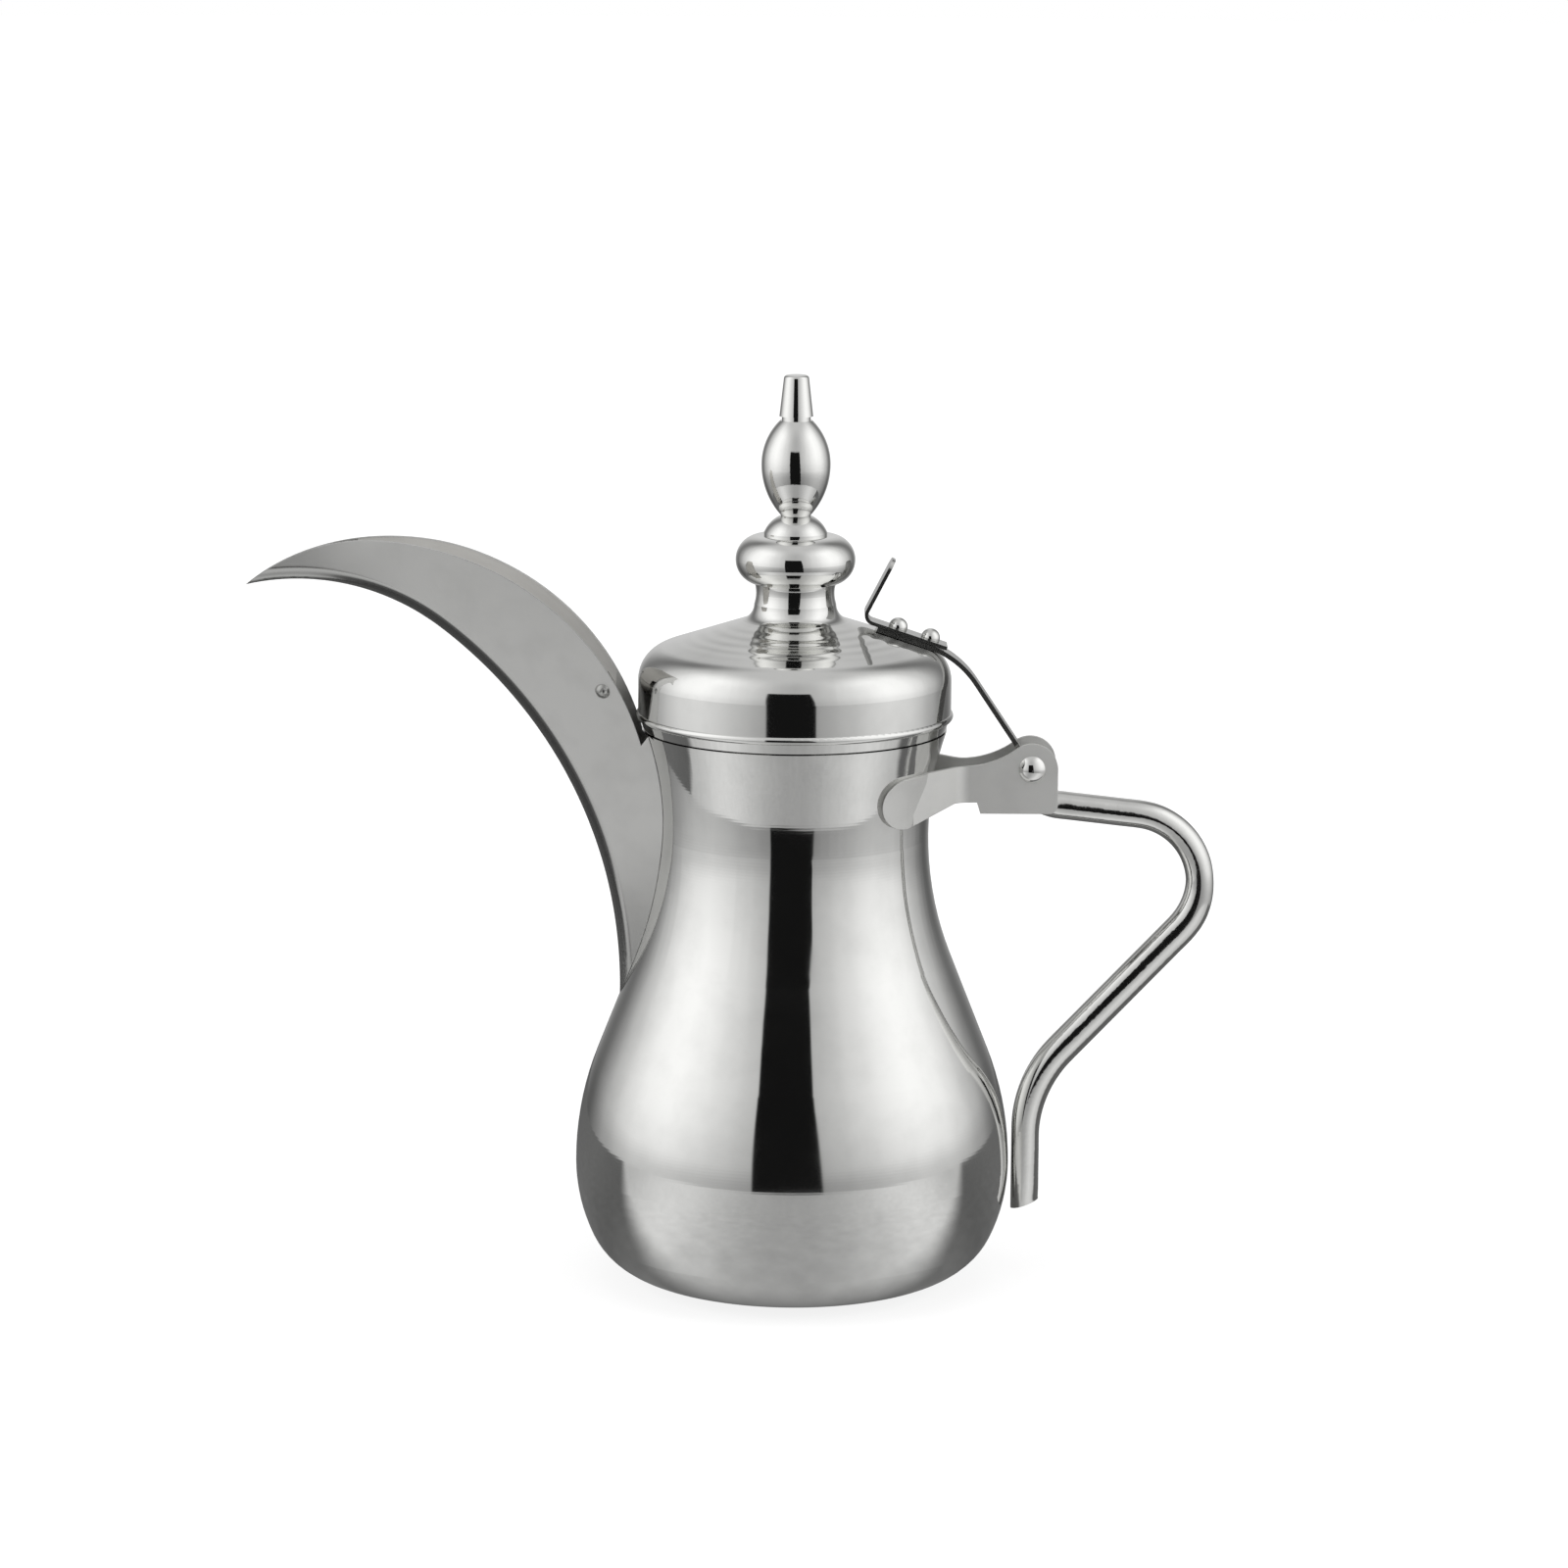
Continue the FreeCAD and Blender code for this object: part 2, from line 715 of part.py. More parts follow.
def make_strap():
    sheet_half = S.strap_sheet / 2
    middle = named("strap_middle", S.solder_gap + sheet_half)
    start_x, start_z = on_cone(S.strap_start, middle)
    line_z = named("strap_line_z", start_z + start_x * S.dome_slope)
    bend_x = named("strap_bend_x", (pin_z + pin_x * S.strap_slope - line_z) / (S.strap_slope - S.dome_slope))
    bend_z = named("strap_bend_z", line_z - bend_x * S.dome_slope)
    sin_turn = fall_sin * cone_cos - fall_cos * cone_sin
    cos_turn = fall_cos * cone_cos + fall_sin * cone_sin
    tangent = named("strap_tangent", S.strap_bend * sin_turn / (cos_turn + 1))
    first = (bend_x - tangent * cone_cos, bend_z + tangent * cone_sin)
    second = (bend_x + tangent * fall_cos, bend_z - tangent * fall_sin)

    def beside(point, sin, cos, height):
        return point[0] + height * sin, point[1] + height * cos

    body = new_body("strap_blank")
    add_pad(body, "XZ_Plane", lambda sketch: draw_outline(sketch, [
        corner(*beside((start_x, start_z), cone_sin, cone_cos, -sheet_half)),
        corner(*beside(first, cone_sin, cone_cos, -sheet_half), right=S.strap_bend - sheet_half),
        corner(*beside(second, fall_sin, fall_cos, -sheet_half)),
        corner(*beside((pin_x, pin_z), fall_sin, fall_cos, -sheet_half)),
        corner(*beside((pin_x, pin_z), fall_sin, fall_cos, sheet_half)),
        corner(*beside(second, fall_sin, fall_cos, sheet_half), left=S.strap_bend + sheet_half),
        corner(*beside(first, cone_sin, cone_cos, sheet_half)),
        corner(*beside((start_x, start_z), cone_sin, cone_cos, sheet_half)),
    ]), S.strap_width)
    eye = named("hinge_eye", S.hinge_pin_radius + S.hinge_fit)
    knuckle = S.cheek_gap - S.knuckle_play * 2
    add_pad(body, "XZ_Plane", lambda sketch: draw_circle(sketch, pin_x, pin_z, eye + S.knuckle_wall), knuckle)
    add_bore(body, pin_x, pin_z, eye, knuckle * 2)
    return body


def make_lift():
    half = S.lift_sheet / 2
    height = named("lift_middle", S.solder_gap * 2 + S.strap_sheet + half)
    end_x, end_z = on_cone(S.lift_foot, height)
    bend_x, bend_z = on_cone(S.lift_bend_at, height)
    lean_length = named("lean_length", root(1 + S.lift_lean * S.lift_lean))
    up_x = named("lean_sin", S.lift_lean / lean_length)
    up_z = named("lean_cos", as_size(1) / lean_length)
    tip_x = bend_x + S.lift_rise * S.lift_lean
    tip_z = bend_z + S.lift_rise
    # the sheet turns right through the angle between the foot's way inwards and the blade's way up
    cos_turn = up_z * cone_sin - up_x * cone_cos
    sin_turn = up_z * cone_cos + up_x * cone_sin
    tangent = named("lift_tangent", S.lift_bend * sin_turn / (cos_turn + 1))
    first = (bend_x + tangent * cone_cos, bend_z - tangent * cone_sin)
    second = (bend_x + tangent * up_x, bend_z + tangent * up_z)
    body = new_body("lift_blank")
    pad = add_pad(body, "XZ_Plane", lambda sketch: draw_outline(sketch, [
        corner(end_x + half * cone_sin, end_z + half * cone_cos),
        corner(first[0] + half * cone_sin, first[1] + half * cone_cos, right=S.lift_bend - half),
        corner(second[0] + half * up_z, second[1] - half * up_x),
        corner(tip_x + half * up_z, tip_z - half * up_x),
        corner(tip_x - half * up_z, tip_z + half * up_x),
        corner(second[0] - half * up_z, second[1] + half * up_x, left=S.lift_bend + half),
        corner(first[0] - half * cone_sin, first[1] - half * cone_cos),
        corner(end_x - half * cone_sin, end_z - half * cone_cos),
    ]), S.strap_width)
    doc.recompute()
    tip_edges = []
    for i, edge in enumerate(pad.Shape.Edges, start=1):
        across = abs(edge.CenterOfMass.y) > S.strap_width.value / 2 - 0.01
        at_tip = abs(edge.CenterOfMass.z - tip_z.value) < 0.01
        if across and at_tip:
            tip_edges.append(f"Edge{i}")
    rounding = body.newObject("PartDesign::Fillet", "lift_tip")
    rounding.Base = (pad, tip_edges)
    rounding.Radius = S.lift_corner.value
    rounding.setExpression("Radius", S.lift_corner.text)
    return body


def make_rivet(label, distance):
    """A ball-headed rivet square to the cone, and the drill for its holes."""
    stack = S.lift_sheet + S.strap_sheet + S.solder_gap * 3 + S.lid_wall
    seat = root(S.rivet_ball * S.rivet_ball - S.rivet_ball_rise * S.rivet_ball_rise)
    body = turned(f"{label}_blank", [
        corner(0, -stack - S.rivet_tail),
        corner(S.rivet_tail_radius, -stack - S.rivet_tail),
        corner(S.rivet_tail_radius, -stack),
        corner(S.rivet_shank, -stack),
        corner(S.rivet_shank, S.solder_gap),
        corner(seat, S.solder_gap, left=S.rivet_ball),
        corner(0, S.solder_gap + S.rivet_ball_rise + S.rivet_ball),
    ])
    head_x, head_z = on_cone(distance, S.solder_gap * 2 + S.strap_sheet + S.lift_sheet)
    lean = Rotation(Vector(0, 1, 0), math.degrees(math.atan(S.dome_slope.value)))
    at = Vector(head_x.value, 0, head_z.value)
    body.Placement = Placement(at, lean)
    drill = doc.addObject("Part::Cylinder", f"{label}_drill")
    drill.Radius = (S.rivet_shank + S.rivet_fit).value
    drill.setExpression("Radius", (S.rivet_shank + S.rivet_fit).text)
    drill.Height = (stack * 2).value
    drill.setExpression("Height", (stack * 2).text)
    drill.Placement = Placement(at - lean.multVec(Vector(0, 0, stack.value * 1.5)), lean)
    return body, drill


lid_blank = make_lid_blank()
strap_blank = make_strap()
lift_blank = make_lift()
rivets = [make_rivet("strap_rivet_inner", S.rivet_inner_at), make_rivet("strap_rivet_outer", S.rivet_outer_at)]
drills = doc.addObject("Part::MultiFuse", "rivet_drills")
drills.Shapes = [drill for _, drill in rivets]
lid_dome = node(cut("lid_dome", lid_blank, drills))
node(cut("hinge_strap", strap_blank, drills))
node(cut("thumb_lift", lift_blank, drills))
node(cut("strap_rivet_inner", rivets[0][0], lid_dome))
node(cut("strap_rivet_outer", rivets[1][0], lid_dome))


def make_hinge_pin():
    """Pin through both cheeks with a domed head at each end."""
    half = S.cheek_gap / 2 + S.cheek_sheet + S.solder_gap
    head = S.pin_head_height
    dome = (S.pin_head_radius * S.pin_head_radius + head * head) / (head * 2)
    body = turned("hinge_pin", [
        corner(0, -half - head, left=dome),
        corner(S.pin_head_radius, -half),
        corner(S.hinge_pin_radius, -half),
        corner(S.hinge_pin_radius, half),
        corner(S.pin_head_radius, half, left=dome),
        corner(0, half + head),
    ])
    body.Placement = Placement(Vector(pin_x.value, 0, pin_z.value), Rotation(Vector(1, 0, 0), 90))
    body.setExpression("Placement.Base.x", pin_x.text)
    body.setExpression("Placement.Base.z", pin_z.text)
    return body


node(make_hinge_pin())


# Bracket: a cheek is the side outline seen from -Y, kept where the bent strip and the sleeve round the neck are

lobe_z = named("lobe_z", pin_z - S.lobe_drop)
grip_radius = named("grip_radius", neck_radius_at(lobe_z, as_size(0)) + S.solder_gap + S.cheek_sheet / 2)


def cheek_outline():
    lobe_x = grip_radius - S.lobe_inset
    arm_top = lobe_z + S.lobe_radius
    hollow_z = arm_top + S.ear_hollow
    apart = S.ear_hollow + S.ear_radius
    up = hollow_z - pin_z
    hollow_x = named("ear_hollow_x", pin_x - root(apart * apart - up * up))
    share = S.ear_radius / apart
    ear_right = pin_x + S.ear_radius
    tab_z = pin_z - S.tab_drop
    step_x = pin_x - S.tab_length
    arm_z = pin_z - S.arm_drop
    return [
        corner(lobe_x, lobe_z - S.lobe_radius),
        corner(pin_x - S.arm_length, arm_z),
        corner(step_x - S.tab_step, arm_z),
        corner(step_x, tab_z),
        corner(ear_right - S.tab_corner, tab_z, left=S.tab_corner),
        corner(ear_right, tab_z + S.tab_corner),
        corner(ear_right, pin_z, left=S.ear_radius),
        corner(pin_x + (hollow_x - pin_x) * share, pin_z + up * share, right=S.ear_hollow),
        corner(hollow_x, arm_top),
        corner(lobe_x, arm_top, left=S.lobe_radius),
        corner(lobe_x - S.lobe_radius, lobe_z, left=S.lobe_radius),
    ]


def cheek_strip():
    """Plan of one cheek: straight beside the hinge, then splayed out to the neck."""
    inner = -S.cheek_gap / 2
    outer = inner - S.cheek_sheet
    half = S.cheek_sheet / 2
    middle = inner - half
    bend_x = pin_x - S.splay_at
    across = bend_x - grip_radius * cosine(S.landing_turn)
    aside = middle + grip_radius * sine(S.landing_turn)
    run = named("splay_run", root(across * across + aside * aside))
    sin = named("splay_sin", aside / run)
    cos = named("splay_cos", across / run)
    tangent = named("splay_tangent", S.splay_bend * sin / (cos + 1))
    first_x = bend_x + tangent
    second = (bend_x - tangent * cos, middle - tangent * sin)
    # the end runs into the neck, which trims it
    into = run + S.cheek_sheet * 2
    end = (bend_x - into * cos, middle - into * sin)
    ear_end = pin_x + S.ear_radius * 2
    return [
        corner(ear_end, inner),
        corner(first_x, inner, left=S.splay_bend + half),
        corner(second[0] - half * sin, second[1] + half * cos),
        corner(end[0] - half * sin, end[1] + half * cos),
        corner(end[0] + half * sin, end[1] - half * cos),
        corner(second[0] + half * sin, second[1] - half * cos, right=S.splay_bend - half),
        corner(first_x, outer),
        corner(ear_end, outer),
    ]


def make_cheeks():
    side = new_body("cheek_side")

    def draw_side(sketch):
        draw_outline(sketch, cheek_outline())
        draw_circle(sketch, pin_x, pin_z, S.hinge_pin_radius + S.rivet_fit)

    add_pad(side, "XZ_Plane", draw_side, S.belly_radius * 2)
    strip = new_body("cheek_strip")
    add_pad(strip, "XY_Plane", lambda sketch: draw_outline(sketch, cheek_strip()), S.rim_height * 3)
    low = S.neck_height
    high = S.rim_height - S.lid_gap * 3
    near = -S.solder_gap
    far = near - S.cheek_sheet
    sleeve = turned("cheek_sleeve", [
        corner(neck_radius_at(low, far), low, right=S.neck_arc + far),
        corner(neck_radius_at(high, far), high),
        corner(neck_radius_at(high, near), high, left=S.neck_arc + near),
        corner(neck_radius_at(low, near), low),
    ], S.lobe_turn_to.value - S.lobe_turn_from.value)
    sleeve.Placement = Placement(Vector(), Rotation(Vector(0, 0, 1), -S.lobe_turn_to.value))
    bent = doc.addObject("Part::MultiFuse", "cheek_bent")
    bent.Shapes = [strip, sleeve]
    kept = doc.addObject("Part::MultiCommon", "cheek_kept")
    kept.Shapes = [bent, side]
    left = cut("bracket_cheek_left", kept, pot_core)
    right = doc.addObject("Part::Mirroring", "bracket_cheek_right")
    right.Label = "bracket_cheek_right"
    right.Source = left
    right.Normal = Vector(0, 1, 0)
    node(left)
    node(right)


make_cheeks()


# Handle: ovals lofted along a path of straight runs and bends

def handle_path():
    """Corners and bend radii of the handle's axis, as points of the XZ plane."""
    slope = S.top_run_slope.value
    start = Vector(pin_x.value - S.tang_inset.value, 0, 0)
    start.z = pin_z.value - S.tang_drop.value + slope * S.tang_inset.value
    along = Vector(1, 0, -slope).normalize()
    back = Vector(-1, 0, -S.return_slope.value).normalize()
    bend = S.outer_bend.value
    centre_x = pin_x.value + S.handle_reach.value - bend
    centre = Vector(centre_x, 0, start.z - slope * (centre_x - start.x) - bend / along.x)
    touch = centre + Vector(-back.z, 0, back.x) * bend
    gap = touch - start
    to_corner = (gap.x * back.z - gap.z * back.x) / (along.x * back.z - along.z * back.x)
    stand_x = S.belly_radius.value + S.handle_stand.value
    low = touch + back * ((stand_x - touch.x) / back.x)
    corners = [start, start + along * to_corner, low, Vector(stand_x, 0, S.handle_end.value)]
    return corners, [bend, S.lower_bend.value]


def path_stations(corners, bends, step):
    """Points and headings along a path whose corners are rounded by the bends."""
    stations = []
    at = corners[0]
    for i in range(1, len(corners)):
        heading = (corners[i] - corners[i - 1]).normalize()
        if i < len(corners) - 1:
            onward = (corners[i + 1] - corners[i]).normalize()
            turn = heading.getAngle(onward)
            tangent = bends[i - 1] * math.tan(turn / 2)
        else:
            tangent = 0.0
        run_end = corners[i] - heading * tangent
        count = max(2, round((run_end - at).Length / step))
        stations += [(at + (run_end - at) * (k / count), heading) for k in range(count)]
        at = run_end
        if tangent:
            inward = (onward - heading * heading.dot(onward)).normalize()
            count = max(3, round(bends[i - 1] * turn / step))
            for k in range(count + 1):
                angle = turn * k / count
                aside = heading * math.sin(angle) + inward * (1 - math.cos(angle))
                at = run_end + aside * bends[i - 1]
                if k < count:
                    stations.append((at, heading * math.cos(angle) + inward * math.sin(angle)))
    stations.append((at, heading))
    return stations


def smooth(x, start, end):
    """Eased step from 0 to 1."""
    t = min(1.0, max(0.0, (x - start) / (end - start)))
    return t * t * (3 - 2 * t)


def make_handle():
    corners, bends = handle_path()
    stations = path_stations(corners, bends, S.tube_diameter.value / 2)
    flat_width = S.cheek_gap.value - 2 * S.tang_play.value
    diameter = S.tube_diameter.value
    run = 0.0
    ovals = []
    for i, (point, heading) in enumerate(stations):
        run += (point - stations[max(i - 1, 0)][0]).Length
        blend = smooth(run, S.tang_length.value, S.tang_length.value + S.tang_blend.value)
        slant = abs(heading.x * heading.z) * 2 * (1 if heading.x < 0 else 0)
        depth = S.tang_height.value + (diameter - S.tang_height.value) * blend + S.tube_swell.value * slant
        width = flat_width + (diameter - flat_width) * blend
        facing = math.degrees(math.atan2(heading.x, heading.z))
        if i == len(stations) - 1:
            facing -= S.end_cut_turn.value
            depth /= math.cos(math.radians(S.end_cut_turn.value))
        oval = doc.addObject("Part::Feature", f"handle_oval_{i}")
        shape = Part.Ellipse(Vector(), max(depth, width) / 2, min(depth, width) / 2).toShape()
        tall = Rotation() if depth >= width else Rotation(Vector(0, 0, 1), 90)
        oval.Shape = Part.Wire(shape)
        oval.Placement = Placement(point, Rotation(Vector(0, 1, 0), facing).multiply(tall))
        ovals.append(oval)
    handle = doc.addObject("Part::Loft", "handle")
    handle.Label = "handle"
    handle.Sections = ovals
    handle.Solid = True
    return handle


node(make_handle())


# Spout: a folded trough lofted along its keel, trimmed by its upper edge and fitted to the pot

def in_plane(centre, radius, turn):
    """A point of the XZ plane on a circle, turned from straight up towards +X, in degrees."""
    angle = math.radians(turn)
    return centre + Vector(math.sin(angle), 0, math.cos(angle)) * radius


def spout_layout():
    """Centres of the arcs of the spout's keel and upper edge."""
    edge_crest = Vector(-S.neck_radius.value - S.edge_crest_reach.value, 0, 0)
    edge_crest.z = S.rim_height.value + S.edge_crest_rise.value
    keel_crest = Vector(-S.neck_radius.value - S.keel_crest_reach.value, 0, 0)
    keel_crest.z = S.rim_height.value + S.keel_crest_rise.value
    upper = keel_crest - Vector(0, 0, S.keel_upper_arc.value)
    join = in_plane(upper, S.keel_upper_arc.value, S.keel_turn.value)
    return SimpleNamespace(
        edge_crest=edge_crest,
        front=edge_crest - Vector(0, 0, S.edge_front_arc.value),
        rear=edge_crest - Vector(0, 0, S.edge_rear_arc.value),
        upper=upper,
        lower=in_plane(join, -S.keel_lower_arc.value, S.keel_turn.value),
        tip_turn=tip_turn(edge_crest, keel_crest) - S.tip_run_turn.value,
    )


def tip_turn(edge_crest, keel_crest):
    """Turn of the keel's upper arc at the tip, where it meets the front arc of the edge."""
    front = edge_crest - Vector(0, 0, S.edge_front_arc.value)
    upper = keel_crest - Vector(0, 0, S.keel_upper_arc.value)
    between = front - upper
    apart = between.Length
    along = (apart ** 2 + S.keel_upper_arc.value ** 2 - S.edge_front_arc.value ** 2) / (2 * apart)
    aside = math.sqrt(S.keel_upper_arc.value ** 2 - along ** 2)
    unit = between.normalize()
    tip = unit * along + Vector(-unit.z, 0, unit.x) * aside
    return math.degrees(math.atan2(tip.x, tip.z))


P = spout_layout()
UPPER_SECTIONS = 7              # sections of the trough along each arc of the keel
LOWER_SECTIONS = 9


def keel_stations():
    """Sections of the trough from beyond the tip to inside the pot, at even turns along each arc."""
    upper_step = (S.keel_turn.value - P.tip_turn) / UPPER_SECTIONS
    lower_step = (S.keel_foot_turn.value - S.keel_turn.value) / LOWER_SECTIONS
    arcs = [(P.upper, S.keel_upper_arc.value, P.tip_turn + upper_step * k) for k in range(UPPER_SECTIONS)]
    for k in range(LOWER_SECTIONS + 1):
        arcs.append((P.lower, S.keel_lower_arc.value, S.keel_turn.value + lower_step * k))
    stations = []
    for centre, radius, turn in arcs:
        opening = smooth(turn, S.opening_turn_from.value, S.opening_turn_to.value)
        closing = smooth(turn, S.closing_turn_from.value, S.closing_turn_to.value)
        flare = S.tip_flare.value + (S.cheek_flare.value - S.tip_flare.value) * opening
        flare += (S.foot_flare.value - S.cheek_flare.value) * closing
        stations.append(SimpleNamespace(
            keel=in_plane(centre, radius, turn),
            out=in_plane(Vector(), 1.0, turn),
            flare=math.radians(flare),
            round=S.tip_keel_round.value + (S.keel_round.value - S.tip_keel_round.value) * opening,
        ))
    return stations


def trough_section(station, inset, height):
    """One section of the trough: two straight cheeks and the rounded fold, inset from the outer skin."""
    radius = max(station.round - inset, S.least_round.value)
    rise = station.round + (radius - station.round + inset) / math.sin(station.flare)
    top = radius / math.cos(station.flare) + (height - rise) * math.tan(station.flare)
    touch_y = radius * math.cos(station.flare)
    touch_h = rise - radius * math.sin(station.flare)

    def at(y, h):
        return station.keel + Vector(0, y, 0) + station.out * h

    fold = Part.Arc(at(-touch_y, touch_h), at(0, rise - radius), at(touch_y, touch_h)).toShape()
    return Part.Wire([
        Part.makeLine(at(-top, height), at(-touch_y, touch_h)),
        fold,
        Part.makeLine(at(touch_y, touch_h), at(top, height)),
        Part.makeLine(at(top, height), at(-top, height)),
    ])


def trough(inset):
    """Solid of the trough, inset from its outer skin; narrow places at the tip stay solid."""
    stations = keel_stations()
    if inset > 0:
        stations = [station for station in stations if station.flare > math.radians(S.hollow_flare.value)]
    sections = [trough_section(station, inset, S.trough_depth.value) for station in stations]
    return Part.makeLoft(sections, True, False)


def under_edge():
    """Everything below the upper edge of the spout, up to the notch at the rim."""
    start = in_plane(P.front, S.edge_front_arc.value, P.tip_turn * 4)
    front_middle = in_plane(P.front, S.edge_front_arc.value, P.tip_turn * 2)
    notch_z = S.rim_height.value - S.notch_drop.value
    notch_turn = math.degrees(math.acos((notch_z - P.rear.z) / S.edge_rear_arc.value))
    notch = in_plane(P.rear, S.edge_rear_arc.value, notch_turn)
    rear_middle = in_plane(P.rear, S.edge_rear_arc.value, notch_turn / 2)
    lip = Vector(notch.x + S.notch_run.value, 0, S.rim_height.value - S.lid_gap.value)
    inside = Vector(0, 0, lip.z)
    floor = Vector(0, 0, S.belly_height.value)
    corner_low = Vector(start.x, 0, floor.z)
    wire = Part.Wire([
        Part.Arc(start, front_middle, P.edge_crest).toShape(),
        Part.Arc(P.edge_crest, rear_middle, notch).toShape(),
        Part.makeLine(notch, lip),
        Part.makeLine(lip, inside),
        Part.makeLine(inside, floor),
        Part.makeLine(floor, corner_low),
        Part.makeLine(corner_low, start),
    ])
    half = S.neck_radius.value
    return Part.Face(wire).extrude(Vector(0, 2 * half, 0)).translated(Vector(0, -half, 0))


def flap_pin_centre():
    return in_plane(P.rear, S.edge_rear_arc.value - S.flap_pin_depth.value, S.flap_pin_turn.value)


def round_bar(centre, radius, half_length):
    """A cylinder along Y."""
    return Part.makeCylinder(radius, 2 * half_length, centre - Vector(0, half_length, 0), Vector(0, 1, 0))


def make_spout():
    doc.recompute()
    outer = trough(0.0)
    shape = outer.common(under_edge()).cut(pot_core.Shape).cut(trough(S.spout_wall.value))
    hole = round_bar(flap_pin_centre(), S.flap_pin_radius.value + S.rivet_fit.value, S.neck_radius.value)
    solids = sorted(shape.cut(hole).Solids, key=lambda solid: solid.Volume)
    return feature("spout", solids[-1]), outer


spout, spout_outer = make_spout()
node(spout)


def make_flap_pin():
    """Pin across the trough; each head is a low ball cap fitted to its cheek."""
    centre = flap_pin_centre()
    across = Vector(0, S.neck_radius.value, 0)
    inside = Part.makeLine(centre - across, centre + across).common(spout_outer)
    reach = max(vertex.Y for vertex in inside.Vertexes)
    pin = round_bar(centre, S.flap_pin_radius.value, reach)
    for side in (-1, 1):
        sunk = centre + Vector(0, side * (reach - S.flap_head_sink.value), 0)
        pin = pin.fuse(Part.makeSphere(S.flap_head_ball.value, sunk).cut(spout_outer))
        to_dimple = S.flap_head_ball.value + S.flap_dimple_ball.value - S.flap_dimple_depth.value
        pin = pin.cut(Part.makeSphere(S.flap_dimple_ball.value, sunk + Vector(0, side * to_dimple, 0)))
    return feature("flap_pin", pin.removeSplitter())


node(make_flap_pin())


# Flap: a curved leaf that fills the trough's opening, rolled round its pin at the rear

def edge_band(first_turn, last_turn, half_width):
    """A curved plate just under the spout's rear edge arc, between two turns."""
    top = S.edge_rear_arc.value - S.flap_recess.value
    low = top - S.flap_sheet.value
    middle = (first_turn + last_turn) / 2
    wire = Part.Wire([
        Part.Arc(*[in_plane(P.rear, top, turn) for turn in (first_turn, middle, last_turn)]).toShape(),
        Part.makeLine(in_plane(P.rear, top, last_turn), in_plane(P.rear, low, last_turn)),
        Part.Arc(*[in_plane(P.rear, low, turn) for turn in (last_turn, middle, first_turn)]).toShape(),
        Part.makeLine(in_plane(P.rear, low, first_turn), in_plane(P.rear, top, first_turn)),
    ])
    return Part.Face(wire).extrude(Vector(0, 2 * half_width, 0)).translated(Vector(0, -half_width, 0))


def make_flap():
    centre = flap_pin_centre()
    front_turn = -math.degrees(S.flap_front.value / S.edge_rear_arc.value)
    neck_turn = S.flap_pin_turn.value - math.degrees(S.flap_neck.value / S.edge_rear_arc.value)
    clear = trough(S.spout_wall.value + S.flap_side_gap.value)
    leaf = edge_band(front_turn, neck_turn, S.neck_radius.value).common(clear)
    knuckle_half = S.flap_knuckle_half.value
    overlap_turn = math.degrees(S.flap_sheet.value / S.edge_rear_arc.value)
    tongue = edge_band(neck_turn - overlap_turn, S.flap_pin_turn.value, knuckle_half)
    knuckle = round_bar(centre, S.flap_knuckle.value, knuckle_half)
    hole = round_bar(centre, S.flap_pin_radius.value + S.flap_fit.value, S.neck_radius.value)
    return feature("spout_flap", leaf.fuse(tongue).fuse(knuckle).cut(hole).removeSplitter())


node(make_flap())


# Checks and files

doc.recompute()
for item in doc.Objects:
    if "Invalid" in item.State or "Error" in item.State:
        raise RuntimeError(f"{item.Label} did not recompute")
os.makedirs("parts", exist_ok=True)
for piece in nodes:
    if piece.Shape.isNull() or not piece.Shape.isValid() or len(piece.Shape.Solids) != 1:
        raise RuntimeError(f"{piece.Label} is not one sound solid")
    piece.Shape.exportStep(f"parts/{piece.Label}.step")
    print(f"{piece.Label}: {piece.Shape.Volume / 1000:.2f} cubic centimetres")
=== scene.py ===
# %% [markdown]
# A polished steel dallah, dressed for its portrait
#
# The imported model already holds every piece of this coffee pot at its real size.
# This lesson gives the pieces their finish and builds the little studio that a photographer
# would put round a mirror-bright pot. Polished metal has hardly any look of its own: it shows
# the room, so half of the work below is about what stands round the pot.

# %% Load the pot
import bmesh
import bpy
import json
import math
from mathutils import Matrix, Vector

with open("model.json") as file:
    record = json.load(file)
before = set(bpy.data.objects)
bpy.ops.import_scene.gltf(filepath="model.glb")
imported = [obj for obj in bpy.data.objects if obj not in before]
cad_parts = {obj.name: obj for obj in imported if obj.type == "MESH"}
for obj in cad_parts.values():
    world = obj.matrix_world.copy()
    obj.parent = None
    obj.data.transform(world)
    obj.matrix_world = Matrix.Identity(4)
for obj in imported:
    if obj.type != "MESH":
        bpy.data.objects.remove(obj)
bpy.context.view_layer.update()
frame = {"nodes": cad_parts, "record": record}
scene = bpy.context.scene
MM = 0.001

# %% [markdown]
# The camera
#
# The photograph was taken from a metre and a half away, a little above the lid, with a long lens.
# Distance and lens belong together: the distance sets how much of the lid's top shows,
# and the lens then only sets how large the pot is in the frame. The camera also leans by a
# third of a degree, so it is turned about its own line of sight at the end.

# %% Place the camera
CAMERA_DISTANCE = 1.5
CAMERA_PITCH = math.radians(10.9)
CAMERA_ROLL = math.radians(0.31)
FIELD_WIDTH = 0.448                      # what the square frame takes in at the pot's axis
SENSOR_WIDTH = 36.0                      # millimetres, as the lens is
aim = Vector((-0.00291, 0.0, 0.14275))   # in the middle of the frame

